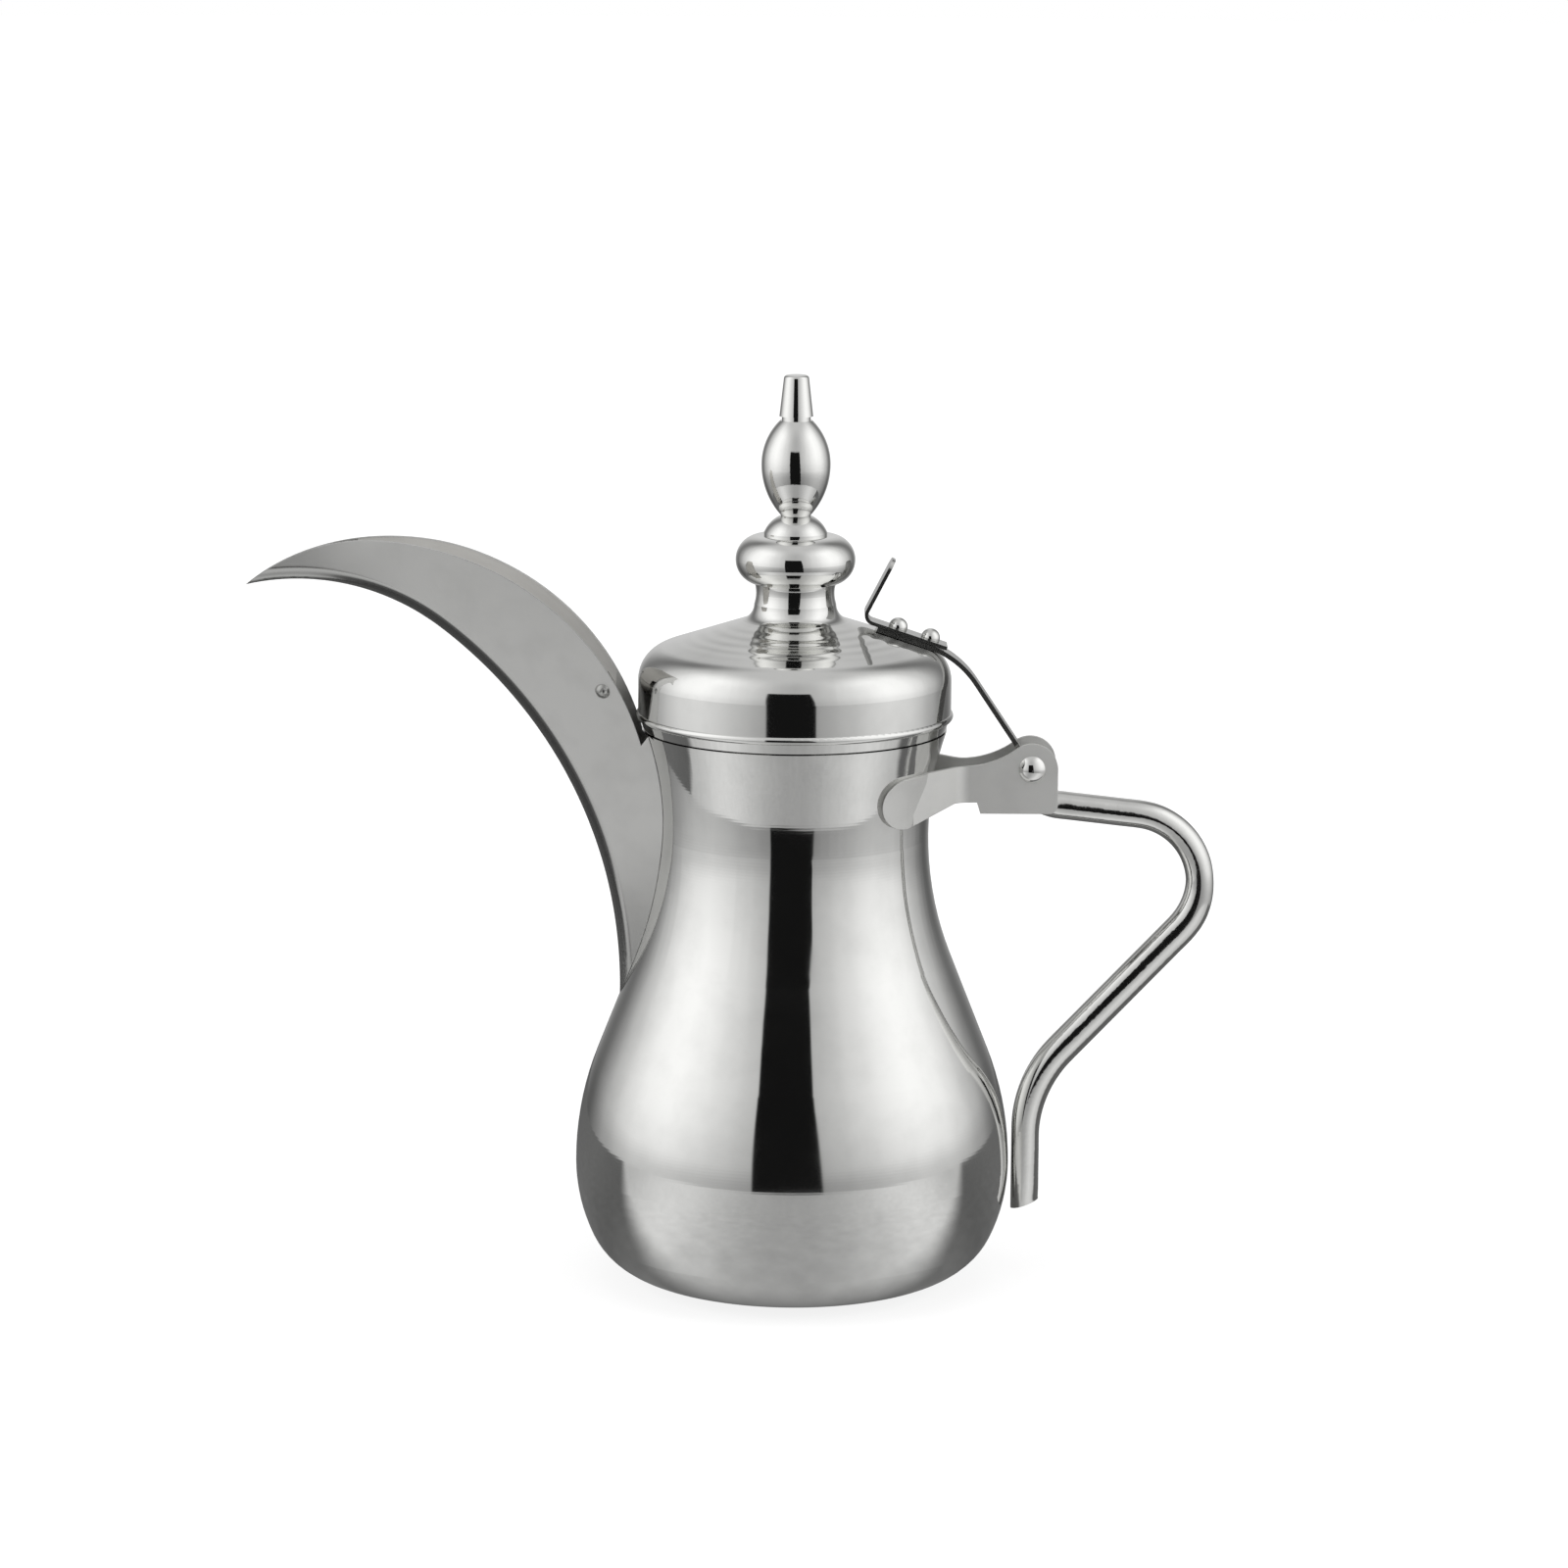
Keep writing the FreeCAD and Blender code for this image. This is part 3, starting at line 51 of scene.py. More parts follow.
camera_data = bpy.data.cameras.new("camera")
camera_data.sensor_width = SENSOR_WIDTH
camera_data.lens = SENSOR_WIDTH * CAMERA_DISTANCE / FIELD_WIDTH
camera_data.clip_start = 10 * MM
camera = bpy.data.objects.new("camera", camera_data)
scene.collection.objects.link(camera)
away = Vector((0.0, -math.cos(CAMERA_PITCH), math.sin(CAMERA_PITCH)))
level = Matrix.Rotation(math.pi / 2 - CAMERA_PITCH, 4, "X")
lean = Matrix.Rotation(CAMERA_ROLL, 4, "Z")
camera.matrix_world = Matrix.Translation(aim + away * CAMERA_DISTANCE) @ level @ lean
scene.camera = camera
scene.view_settings.view_transform = "Standard"
print("camera lens in millimetres:", round(camera_data.lens, 1))

# %% [markdown]
# Helpers for every material
#
# Colours are written as they would be picked on a screen, and Blender computes with light,
# so one function turns a hex colour to linear values. A second small function adds a node,
# sets what it is given, links the rest and hands back the socket to go on from. A material is
# then a short list of such calls, read from top to bottom.

# %% Colour and node helpers


def linear(hex_colour, share=1.0):
    """Linear colour of an sRGB hex value such as #E1E1DF, or a share of it."""
    channels = [int(hex_colour[i:i + 2], 16) / 255 for i in (1, 3, 5)]
    light = [c / 12.92 if c <= 0.04045 else ((c + 0.055) / 1.055) ** 2.4 for c in channels]
    return [c * share for c in light] + [1.0]


def add(tree, kind, inputs=None, out=0, **settings):
    """Adds a node, gives it its settings, sets or links its inputs and returns one output."""
    made = tree.nodes.new(kind)
    for name, value in settings.items():
        setattr(made, name, value)
    for name, value in (inputs or {}).items():
        if isinstance(value, bpy.types.NodeSocket):
            tree.links.new(value, made.inputs[name])
        else:
            made.inputs[name].default_value = value
    return made.outputs[out] if len(made.outputs) else None


def new_tree(name):
    """An empty material and its node tree."""
    material = bpy.data.materials.new(name)
    material.use_nodes = True
    material.node_tree.nodes.clear()
    return material, material.node_tree


print("white paper in linear light:", [round(c, 3) for c in linear("#F4F4F2")])

# %% [markdown]
# The light tent
#
# Mirror-bright pots are photographed inside a tent of white cloth. Two lamps shine on the cloth
# from the left and the right, a third from above, and a slit is left open for the lens.
# On the pot the lit cloth becomes the broad white sides, and the dark room behind the slit becomes
# the black band down the belly. The tent here is a ball round the pot. Its light is worked out from
# two angles: how far a place lies round the pot, and how high. The camera looks straight through it.

# %% Light by direction
TENT_RADIUS = 0.9                        # metres


def by_degrees(tree, degrees, stops):
    """A share that runs smoothly through listed stops of degrees and shares."""
    low, high = stops[0][0], stops[-1][0]
    along = add(tree, "ShaderNodeMapRange", {"Value": degrees, "From Min": low, "From Max": high})
    share = add(tree, "ShaderNodeValToRGB", {"Fac": along})
    ramp = share.node.color_ramp
    ramp.interpolation = "CARDINAL"
    while len(ramp.elements) < len(stops):
        ramp.elements.new(0.5)
    for element, (degree, value) in zip(ramp.elements, stops):
        element.position = (degree - low) / (high - low)
        element.color = (value, value, value, 1.0)
    return share


def degrees_round(tree, split):
    """Degrees round the pot from the camera's side, with the right as positive."""
    towards = add(tree, "ShaderNodeMath", {0: split.outputs["Y"], 1: -1.0}, operation="MULTIPLY")
    turn = add(tree, "ShaderNodeMath", {0: split.outputs["X"], 1: towards}, operation="ARCTAN2")
    return add(tree, "ShaderNodeMath", {0: turn}, operation="DEGREES")


def degrees_up(tree, split):
    """Degrees that a place on the tent lies above its middle."""
    high = add(tree, "ShaderNodeMath", {0: split.outputs["Z"], 1: TENT_RADIUS}, operation="DIVIDE")
    rise = add(tree, "ShaderNodeMath", {0: high}, operation="ARCSINE")
    return add(tree, "ShaderNodeMath", {0: rise}, operation="DEGREES")


print("tent radius:", TENT_RADIUS, "m")

# %% [markdown]
# The slit
#
# The two halves of the cloth are pinned apart by hand, so the slit isn't quite in the middle and its
# right side leans in a little towards the top. Its edges are soft, because cloth hangs in a curve.

# %% Slit
SLIT_LEFT = -20.3                        # sides and top, in degrees round and up
SLIT_RIGHT = 14.6
SLIT_TOP = 31.0
SLIT_LEAN = 0.1                          # of the right side, degrees for each degree up
SLIT_BLUR = 0.7                          # degrees to each side of an edge


def slit_share(tree, round_pot, up):
    """1 inside the slit that is left open for the lens, 0 on the cloth."""
    leaning = add(tree, "ShaderNodeMath", {0: up, 1: SLIT_LEAN, 2: round_pot}, operation="MULTIPLY_ADD")
    sides = [
        (round_pot, SLIT_LEFT - SLIT_BLUR, SLIT_LEFT + SLIT_BLUR),
        (leaning, SLIT_RIGHT + SLIT_BLUR, SLIT_RIGHT - SLIT_BLUR),
        # the top hangs loose, so its edge is twice as soft
        (up, SLIT_TOP + 2 * SLIT_BLUR, SLIT_TOP - 2 * SLIT_BLUR),
    ]
    inside = []
    for angle, outer, inner in sides:
        inside.append(add(
            tree,
            "ShaderNodeMapRange",
            {"Value": angle, "From Min": outer, "From Max": inner},
            interpolation_type="SMOOTHSTEP",
        ))
    across = add(tree, "ShaderNodeMath", {0: inside[0], 1: inside[1]}, operation="MULTIPLY")
    return add(tree, "ShaderNodeMath", {0: across, 1: inside[2]}, operation="MULTIPLY")


print("slit from", SLIT_LEFT, "to", SLIT_RIGHT, "degrees")

# %% [markdown]
# Cloth
#
# Woven cotton is thin enough to glow where a lamp stands behind it, and its weave spreads that light
# smoothly. So the cloth is brightest at both sides, dims towards the table and the back, and has
# a light of its own overhead. A short list of stops by degrees says how bright it is in each direction.

# %% Hang the tent
TENT_HEIGHT = 0.1                        # of its middle above the table
TENT_SEGMENTS = 96
LIT_CLOTH = 1.25                         # the brightest cloth, seen from the pot
CLOTH_ROUND = [                          # degrees from the camera's side, share of the brightest
    (0, 0.40), (18, 0.48), (32, 0.62), (49, 0.80), (68, 0.98), (82, 0.98), (95, 0.90), (109, 0.68),
    (123, 0.46), (137, 0.22), (150, 0.20), (162, 0.40), (172, 0.54), (180, 0.56),
]
CLOTH_UP = [                             # degrees above the middle, share
    (-40, 0.30), (-12, 0.50), (-7, 0.62), (-3, 0.78), (6, 0.90), (17, 0.98), (35, 1.0),
]
CEILING = 0.63                           # brightness straight above
CEILING_FROM, CEILING_TO = 46.0, 76.0    # degrees up where it takes over from the sides
DARK_ROOM = 0.008                        # brightness behind the slit


def tent_cloth():
    """White woven cotton, lit through from both sides: smooth light without a visible weave."""
    material, tree = new_tree("tent_cotton_cloth")
    place = add(tree, "ShaderNodeTexCoord", out="Object")
    split = add(tree, "ShaderNodeSeparateXYZ", {"Vector": place}).node
    round_pot = degrees_round(tree, split)
    up = degrees_up(tree, split)
    aside = add(tree, "ShaderNodeMath", {0: round_pot}, operation="ABSOLUTE")
    by_side = by_degrees(tree, aside, CLOTH_ROUND)
    by_height = by_degrees(tree, up, CLOTH_UP)
    share = add(tree, "ShaderNodeMath", {0: by_side, 1: by_height}, operation="MULTIPLY")
    lit = add(tree, "ShaderNodeMath", {0: share, 1: LIT_CLOTH}, operation="MULTIPLY")
    overhead = add(
        tree,
        "ShaderNodeMapRange",
        {"Value": up, "From Min": CEILING_FROM, "From Max": CEILING_TO},
        interpolation_type="SMOOTHSTEP",
    )
    cloth = add(tree, "ShaderNodeMix", {"Factor": overhead, 2: lit, 3: CEILING}, data_type="FLOAT")
    slit = slit_share(tree, round_pot, up)
    seen = add(tree, "ShaderNodeMix", {"Factor": slit, 2: cloth, 3: DARK_ROOM}, data_type="FLOAT")
    light = add(tree, "ShaderNodeEmission", {"Color": seen, "Strength": 1.0})
    add(tree, "ShaderNodeOutputMaterial", {"Surface": light})
    return material


def only_reflected(made):
    """The piece is seen in polished metal, and the camera and the lamps pass through it."""
    made.visible_camera = False
    made.visible_diffuse = False
    made.visible_shadow = False


tent_mesh = bpy.data.meshes.new("light_tent")
ball = bmesh.new()
bmesh.ops.create_uvsphere(
    ball, u_segments=TENT_SEGMENTS, v_segments=TENT_SEGMENTS // 2, radius=TENT_RADIUS,
)
ball.to_mesh(tent_mesh)
ball.free()
tent_mesh.materials.append(tent_cloth())
tent = bpy.data.objects.new("light_tent", tent_mesh)
tent.location.z = TENT_HEIGHT
scene.collection.objects.link(tent)
only_reflected(tent)
print("tent faces:", len(tent_mesh.polygons))

# %% [markdown]
# The table in the tent
#
# The lower belly and the flare of the neck look down, so they mirror the table top. The tent's cloth
# meets it in a circle, which is the level line low on the belly where the black band ends, and the wavy
# line on the neck. The lamps leave two pools of light on it, left and right of the pot, and the pot
# shades the table behind it. A flat disc with a light of its own gives all of that without more lamps.

# %% Table top
TABLE_RADIUS = 0.375                     # metres, where the cloth meets it
TABLE_DROP = 1 * MM                      # below the pot's foot, so that no two faces share a place
TABLE_ROUND = [                          # degrees from the camera's side, brightness
    (0, 0.41), (11, 0.43), (26, 0.54), (40, 0.68), (56, 0.82), (72, 0.72), (85, 0.60), (97, 0.62),
    (120, 0.72), (150, 0.60), (180, 0.50),
]
SHADE = 0.22                             # share of the light that is left behind the pot
SHADE_FROM = -70 * MM                    # where the shade begins and is full, minus being before the axis
SHADE_TO = -42 * MM
SHADE_SPREAD = 0.2                       # how much further back that is for each metre from the axis
MOTTLE_MM = 11.0
MOTTLE = 0.15                            # share by which the patches are lighter or darker
DISC_SEGMENTS = 128


def table_laminate():
    """A pale pressed laminate: matt and a little patchy, with two pools of lamplight."""
    material, tree = new_tree("table_pale_laminate")
    place = add(tree, "ShaderNodeTexCoord", out="Object")
    split = add(tree, "ShaderNodeSeparateXYZ", {"Vector": place}).node
    aside = add(tree, "ShaderNodeMath", {0: degrees_round(tree, split)}, operation="ABSOLUTE")
    pools = by_degrees(tree, aside, TABLE_ROUND)
    distance = add(tree, "ShaderNodeVectorMath", {0: place}, out="Value", operation="LENGTH")
    behind = add(
        tree,
        "ShaderNodeMath",
        {0: distance, 1: -SHADE_SPREAD, 2: split.outputs["Y"]},
        operation="MULTIPLY_ADD",
    )
    shade = add(
        tree,
        "ShaderNodeMapRange",
        {"Value": behind, "From Min": SHADE_FROM, "From Max": SHADE_TO, "To Min": 1.0, "To Max": SHADE},
        interpolation_type="SMOOTHSTEP",
    )
    mottle_scale = 1 / (MOTTLE_MM * MM)
    mottle = add(tree, "ShaderNodeTexNoise", {"Vector": place, "Scale": mottle_scale, "Detail": 3.0})
    uneven = add(tree, "ShaderNodeMapRange", {"Value": mottle, "To Min": 1 - MOTTLE, "To Max": 1 + MOTTLE})
    lit = add(tree, "ShaderNodeMath", {0: pools, 1: shade}, operation="MULTIPLY")
    seen = add(tree, "ShaderNodeMath", {0: lit, 1: uneven}, operation="MULTIPLY")
    light = add(tree, "ShaderNodeEmission", {"Color": seen, "Strength": 1.0})
    add(tree, "ShaderNodeOutputMaterial", {"Surface": light})
    return material


def level_disc(name, radius, height, material):
    """A flat round sheet about the pot's axis."""
    mesh = bpy.data.meshes.new(name)
    disc = bmesh.new()
    bmesh.ops.create_circle(disc, cap_ends=True, segments=DISC_SEGMENTS, radius=radius)
    disc.to_mesh(mesh)
    disc.free()
    mesh.materials.append(material)
    made = bpy.data.objects.new(name, mesh)
    made.location.z = height
    scene.collection.objects.link(made)
    return made


table = level_disc("table_top", TABLE_RADIUS, -TABLE_DROP, table_laminate())
only_reflected(table)
print("table radius:", TABLE_RADIUS, "m")

# %% [markdown]
# Floor and background
#
# The background of the photograph is plain white. Lighting a floor to full white would take so much
# light that pale things clip. So most of the floor's white is its own, and the rest is lamplight,
# which leaves a soft shadow under the pot. Further out the floor's own white grows to full, so it
# runs into the white sky without a horizon. The sky is full white where it is looked at, directly or
# in a reflection, and gives matt things only half of that light.

# %% Floor and sky
FLOOR_RADIUS = 8.0
FLOOR_DROP = 2 * MM                      # it lies below the table top
FLOOR_OWN_NEAR = 0.85                    # the paper's own white near the pot and further out
FLOOR_OWN_FAR = 1.0
FLOOR_NEAR, FLOOR_FAR = 0.15, 0.6        # metres from the pot's axis
SKY_FILL = 0.5                           # the sky's light on matt things


def floor_paper():
    """Coated white paper, matt and even, that gives back most of its white by itself."""
    material, tree = new_tree("floor_white_paper")
    place = add(tree, "ShaderNodeTexCoord", out="Object")
    distance = add(tree, "ShaderNodeVectorMath", {0: place}, out="Value", operation="LENGTH")
    own = add(
        tree,
        "ShaderNodeMapRange",
        {
            "Value": distance,
            "From Min": FLOOR_NEAR,
            "From Max": FLOOR_FAR,
            "To Min": FLOOR_OWN_NEAR,
            "To Max": FLOOR_OWN_FAR,
        },
        interpolation_type="SMOOTHSTEP",
    )
    glow = add(tree, "ShaderNodeEmission", {"Color": linear("#FFFFFF"), "Strength": own})
    lamplit = add(tree, "ShaderNodeBsdfDiffuse", {"Color": linear("#787878")})
    both = add(tree, "ShaderNodeAddShader", {0: lamplit, 1: glow})
    add(tree, "ShaderNodeOutputMaterial", {"Surface": both})
    return material


floor = level_disc("floor", FLOOR_RADIUS, -FLOOR_DROP, floor_paper())
floor.visible_glossy = False

world = bpy.data.worlds.new("white_sky")
scene.world = world
world.use_nodes = True
sky_tree = world.node_tree
sky_tree.nodes.clear()
path = add(sky_tree, "ShaderNodeLightPath").node
looked_at = path.outputs["Is Camera Ray"]
for ray in ("Is Glossy Ray", "Is Transmission Ray"):
    looked_at = add(sky_tree, "ShaderNodeMath", {0: looked_at, 1: path.outputs[ray]}, operation="MAXIMUM")
strength = add(sky_tree, "ShaderNodeMapRange", {"Value": looked_at, "To Min": SKY_FILL, "To Max": 1.0})
sky = add(sky_tree, "ShaderNodeBackground", {"Color": linear("#FFFFFF"), "Strength": strength})
add(sky_tree, "ShaderNodeOutputWorld", {"Surface": sky})
print("floor of radius", FLOOR_RADIUS, "m under a white sky")

# %% [markdown]
# Lamps
#
# The tent gives the metal its look, so the lamps have little to do: three weak softboxes shine on the
# paper floor and leave the shadow under the pot. The metal doesn't mirror them, or it would show three
# bright squares.

# %% Softboxes
LAMP_WATTS = 9.0
LAMPS = {                                # place in metres, and the side of the square
    "lamp_left": ((-1.2, -0.5, 0.8), 0.8),
    "lamp_right": ((1.2, -0.5, 0.8), 0.8),
    "lamp_top": ((0.0, -0.2, 1.5), 1.0),
}


def softbox(name, place, side):
    """A square lamp aimed at the middle of the pot."""
    data = bpy.data.lights.new(name, "AREA")
    data.energy = LAMP_WATTS
    data.size = side
    made = bpy.data.objects.new(name, data)
    made.location = place
    made.rotation_euler = (aim - Vector(place)).to_track_quat("-Z", "Y").to_euler()
    made.visible_glossy = False
    scene.collection.objects.link(made)


for lamp_name, (lamp_place, lamp_side) in LAMPS.items():
    softbox(lamp_name, lamp_place, lamp_side)
print("lamps:", sorted(LAMPS))

# %% [markdown]
# Polished stainless steel
#
# Nearly every piece is stainless steel, a pale and very slightly warm grey. What tells the eye that it
# is real metal is small: a film of polish that dims it in patches, a hand's dull marks, and a surface
# that is never quite even. All finishes share these, so one function lays them down. A finish says how
# rough the clean metal is and how much rougher it is where a hand has dulled it. It hands over a relief,
# the small heights of its surface in millimetres. Sheet also has its cut edges eased by a few tenths of
# a millimetre, so that they catch a line of light.

# %% Steel
SMUDGE_MM = 28.0                         # a hand's marks
SMUDGE_FROM, SMUDGE_TO = 0.40, 0.75      # values of the noise where they begin and are full
FILM_MM = 9.0                            # patches of dried polish
FILM_FROM, FILM_TO = 0.45, 0.80
FILM_COLOUR = 0.93                       # share of the colour that is left under the film
WORN_ROUGHNESS = 0.35                    # shares that are left where a press burnished the sheet: of the roughness, and of the colour, whose darkening is a painted dark reflection
FOLD_PAINTED_REFLECTION = 0.7
EDGE_SAMPLES = 4                         # rays that feel for a cut edge


def steel(name, colour, roughness, dull, relief, edge_mm=0.0, burnish_and_painted_reflection=None):
    """Steel with faint dull patches, a thin film, a relief and, if given, eased edges and a burnished
    place whose colour is darkened as a painted reflection.
    """
    material, tree = new_tree(name)
    place = add(tree, "ShaderNodeTexCoord", out="Object")
    smudge_scale = 1 / (SMUDGE_MM * MM)
    smudge = add(tree, "ShaderNodeTexNoise", {"Vector": place, "Scale": smudge_scale, "Detail": 4.0})
    rough = add(
        tree,
        "ShaderNodeMapRange",
        {
            "Value": smudge,
            "From Min": SMUDGE_FROM,
            "From Max": SMUDGE_TO,
            "To Min": roughness,
            "To Max": roughness + dull,
        },
    )
    film_scale = 1 / (FILM_MM * MM)
    film = add(tree, "ShaderNodeTexNoise", {"Vector": place, "Scale": film_scale, "Detail": 6.0})
    filmed = add(tree, "ShaderNodeMapRange", {"Value": film, "From Min": FILM_FROM, "From Max": FILM_TO})
    tint = add(
        tree,
        "ShaderNodeMix",
        {"Factor": filmed, 6: linear(colour), 7: linear(colour, FILM_COLOUR)},
        out=2,
        data_type="RGBA",
    )
    if burnish_and_painted_reflection:
        share = burnish_and_painted_reflection(tree, place)
        left = add(tree, "ShaderNodeMapRange", {"Value": share, "To Min": 1.0, "To Max": WORN_ROUGHNESS})
        rough = add(tree, "ShaderNodeMath", {0: rough, 1: left}, operation="MULTIPLY")
        # the burnished place is also darker in colour: a painted dark reflection of the table, on top of
        # the real burnish in the roughness
        tint = add(
            tree,
            "ShaderNodeMix",
            {"Factor": share, 6: tint, 7: linear(colour, FOLD_PAINTED_REFLECTION)},
            out=2,
            data_type="RGBA",
        )
    bumped = {"Height": relief(tree, place), "Distance": MM, "Strength": 1.0}
    if edge_mm:
        bumped["Normal"] = add(tree, "ShaderNodeBevel", {"Radius": edge_mm * MM}, samples=EDGE_SAMPLES)
    normal = add(tree, "ShaderNodeBump", bumped)
    shader = add(
        tree,
        "ShaderNodeBsdfPrincipled",
        {"Base Color": tint, "Metallic": 1.0, "Roughness": rough, "Normal": normal},
    )
    add(tree, "ShaderNodeOutputMaterial", {"Surface": shader})
    return material


print("steel in linear light:", [round(c, 3) for c in linear("#E3E3E1")])

# %% [markdown]
# Waves and marks
#
# Two kinds of unevenness make up nearly every relief: slow waves, left by hand, press and wheel, and
# fine marks round the axis of a piece that turned while it was worked. Real buffing marks are some
# hundredths of a millimetre apart. That is far too fine for this picture, so they are drawn as coarse
# as they need to be to show.

# %% Unevenness
MARK_DISTORTION = 0.6                    # radians of a wave, because no mark runs quite true


def slow_waves(tree, place, length_mm, height_mm):
    """The gentle unevenness of sheet that was worked by hand and wheel."""
    scale = 1 / (length_mm * MM)
    noise = add(tree, "ShaderNodeTexNoise", {"Vector": place, "Scale": scale, "Detail": 1.0})
    return add(tree, "ShaderNodeMath", {0: noise, 1: height_mm}, operation="MULTIPLY")


def turning_marks(tree, place, kind, spacing_mm, height_mm):
    """Rings round the upright axis that a tool or a wheel leaves on a piece that turns."""
    # a wave of scale 1 repeats every 2 pi / 20
    scale = 2 * math.pi / (20 * spacing_mm * MM)
    rings = add(
        tree,
        "ShaderNodeTexWave",
        {"Vector": place, "Scale": scale, "Distortion": MARK_DISTORTION, "Detail": 1.0},
        out="Fac",
        wave_type=kind,
        bands_direction="Z",
        rings_direction="Z",
    )
    return add(tree, "ShaderNodeMath", {0: rings, 1: height_mm}, operation="MULTIPLY")


print("marks stray by this share of their spacing:", round(MARK_DISTORTION / (2 * math.pi), 2))

# %% [markdown]
# Spun pot and lid
#
# The pot and the lid were spun over a former and buffed until they mirror. Drawing in the neck leaves it
# a little uneven, which is why the table's edge runs wavy there, and the lid's cone keeps shallow ripples
# round its middle where the tool pressed last. Such heights are too small to be worth a shape, so they
# are a bump in the finish.

# %% Spun finishes
NECK_FROM, NECK_TO = 104 * MM, 152 * MM  # heights of the drawn-in neck
NECK_EASE = 10 * MM
NECK_WAVES = (32.0, 0.5)                 # length and height in millimetres
POT_WAVES = (22.0, 0.03)
POT_MARKS = (0.9, 0.001)                 # spacing and height in millimetres
CONE_FROM, CONE_TO = 17 * MM, 33 * MM    # distances from the lid's axis
CONE_EASE = 4 * MM
CONE_RIPPLES = (4.0, 0.05)
LID_WAVES = (22.0, 0.02)


def window(tree, value, low, high, ease):
    """1 between two places and 0 outside, with soft ends."""
    enter = add(
        tree,
        "ShaderNodeMapRange",
        {"Value": value, "From Min": low - ease, "From Max": low + ease},
        interpolation_type="SMOOTHSTEP",
    )
    leave = add(
        tree,
        "ShaderNodeMapRange",
        {"Value": value, "From Min": high + ease, "From Max": high - ease},
        interpolation_type="SMOOTHSTEP",
    )
    return add(tree, "ShaderNodeMath", {0: enter, 1: leave}, operation="MULTIPLY")


def pot_relief(tree, place):
    """An uneven neck, an almost even belly and the wheel's marks."""
    height = add(tree, "ShaderNodeSeparateXYZ", {"Vector": place}, out="Z")
    on_neck = window(tree, height, NECK_FROM, NECK_TO, NECK_EASE)
    uneven = slow_waves(tree, place, *NECK_WAVES)
    neck = add(tree, "ShaderNodeMath", {0: uneven, 1: on_neck}, operation="MULTIPLY")
    even = slow_waves(tree, place, *POT_WAVES)
    marks = turning_marks(tree, place, "BANDS", *POT_MARKS)
    worked = add(tree, "ShaderNodeMath", {0: neck, 1: even}, operation="ADD")
    return add(tree, "ShaderNodeMath", {0: worked, 1: marks}, operation="ADD")


def lid_relief(tree, place):
    """Shallow ripples on the cone of an almost even lid."""
    flat = add(tree, "ShaderNodeVectorMath", {0: place, 1: (1.0, 1.0, 0.0)}, operation="MULTIPLY")
    from_axis = add(tree, "ShaderNodeVectorMath", {0: flat}, out="Value", operation="LENGTH")
    on_cone = window(tree, from_axis, CONE_FROM, CONE_TO, CONE_EASE)
    ripples = turning_marks(tree, place, "RINGS", *CONE_RIPPLES)
    pressed = add(tree, "ShaderNodeMath", {0: ripples, 1: on_cone}, operation="MULTIPLY")
    even = slow_waves(tree, place, *LID_WAVES)
    return add(tree, "ShaderNodeMath", {0: pressed, 1: even}, operation="ADD")


# buffed to a mirror: it shows the tent sharply, and a little softer where a hand has dulled it
pot_finish = steel(
    "stainless_spun_and_buffed", "#E3E3E1", roughness=0.045, dull=0.05, relief=pot_relief,
)
# the same mirror, with its images broken up by the ripples of the tool
lid_finish = steel("stainless_spun_lid", "#E3E3E1", roughness=0.05, dull=0.04, relief=lid_relief)
print("spun finishes:", pot_finish.name, lid_finish.name)

# %% [markdown]
# The folded spout
#
# The spout is one sheet, folded along its keel in a press. The sides keep the satin of the mill, and the
# press leaves a narrow burnished strip on both sides of the fold, tilted towards it, that mirrors the dark
# of the table. The strip's colour is darkened as well, a painted dark reflection that deepens the band.
# The fold follows two arcs, one after the other, so the distance from an arc's middle tells how far a
# place lies above the fold.

# %% Spout finish
KEEL_UPPER = Vector((-141.0, 0.0, 135.3)) * MM       # middle of the upper arc
KEEL_UPPER_ARC = 66 * MM
KEEL_LOWER_ARC = 130 * MM
KEEL_TURN = math.radians(37.4)                       # where the lower arc takes over, from straight up
keel_outwards = Vector((math.sin(KEEL_TURN), 0.0, math.cos(KEEL_TURN)))
keel_join = KEEL_UPPER + keel_outwards * KEEL_UPPER_ARC
keel_lower = keel_join - keel_outwards * KEEL_LOWER_ARC
STRIP_MM = 3.6                                       # width of the burnished strip
STRIP_SLOPE = 0.45
STRIP_EASE_MM = 0.5
GRAIN_ACROSS = (1.0, 1.0, 9.0)                       # grain is nine times as long as it is wide
SHEET_GRAIN = (9.0, 0.006)                           # length and height in mm, coarse enough to show
SHEET_WAVES = (30.0, 0.05)


def above_keel(tree, place):
    """Millimetres that a place of the spout lies above its fold."""
    flat = add(tree, "ShaderNodeVectorMath", {0: place, 1: (1.0, 0.0, 1.0)}, operation="MULTIPLY")
    above = []
    for middle, arc in ((KEEL_UPPER, KEEL_UPPER_ARC), (keel_lower, KEEL_LOWER_ARC)):
        reach = add(tree, "ShaderNodeVectorMath", {0: flat, 1: middle}, out="Value", operation="DISTANCE")
        above.append(add(tree, "ShaderNodeMath", {0: reach, 1: arc}, operation="SUBTRACT"))
    along = add(tree, "ShaderNodeSeparateXYZ", {"Vector": place}, out="X")
    past_join = add(tree, "ShaderNodeMath", {0: along, 1: keel_join.x}, operation="GREATER_THAN")
    metres = add(tree, "ShaderNodeMix", {"Factor": past_join, 2: above[0], 3: above[1]}, data_type="FLOAT")
    return add(tree, "ShaderNodeMath", {0: metres, 1: MM}, operation="DIVIDE")


def on_strip(tree, place):
    """1 on the burnished strip along the fold, which also gets a painted dark reflection in its colour."""
    inner, outer = STRIP_MM - STRIP_EASE_MM, STRIP_MM + STRIP_EASE_MM
    return add(
        tree,
        "ShaderNodeMapRange",
        {"Value": above_keel(tree, place), "From Min": outer, "From Max": inner},
        interpolation_type="SMOOTHSTEP",
    )


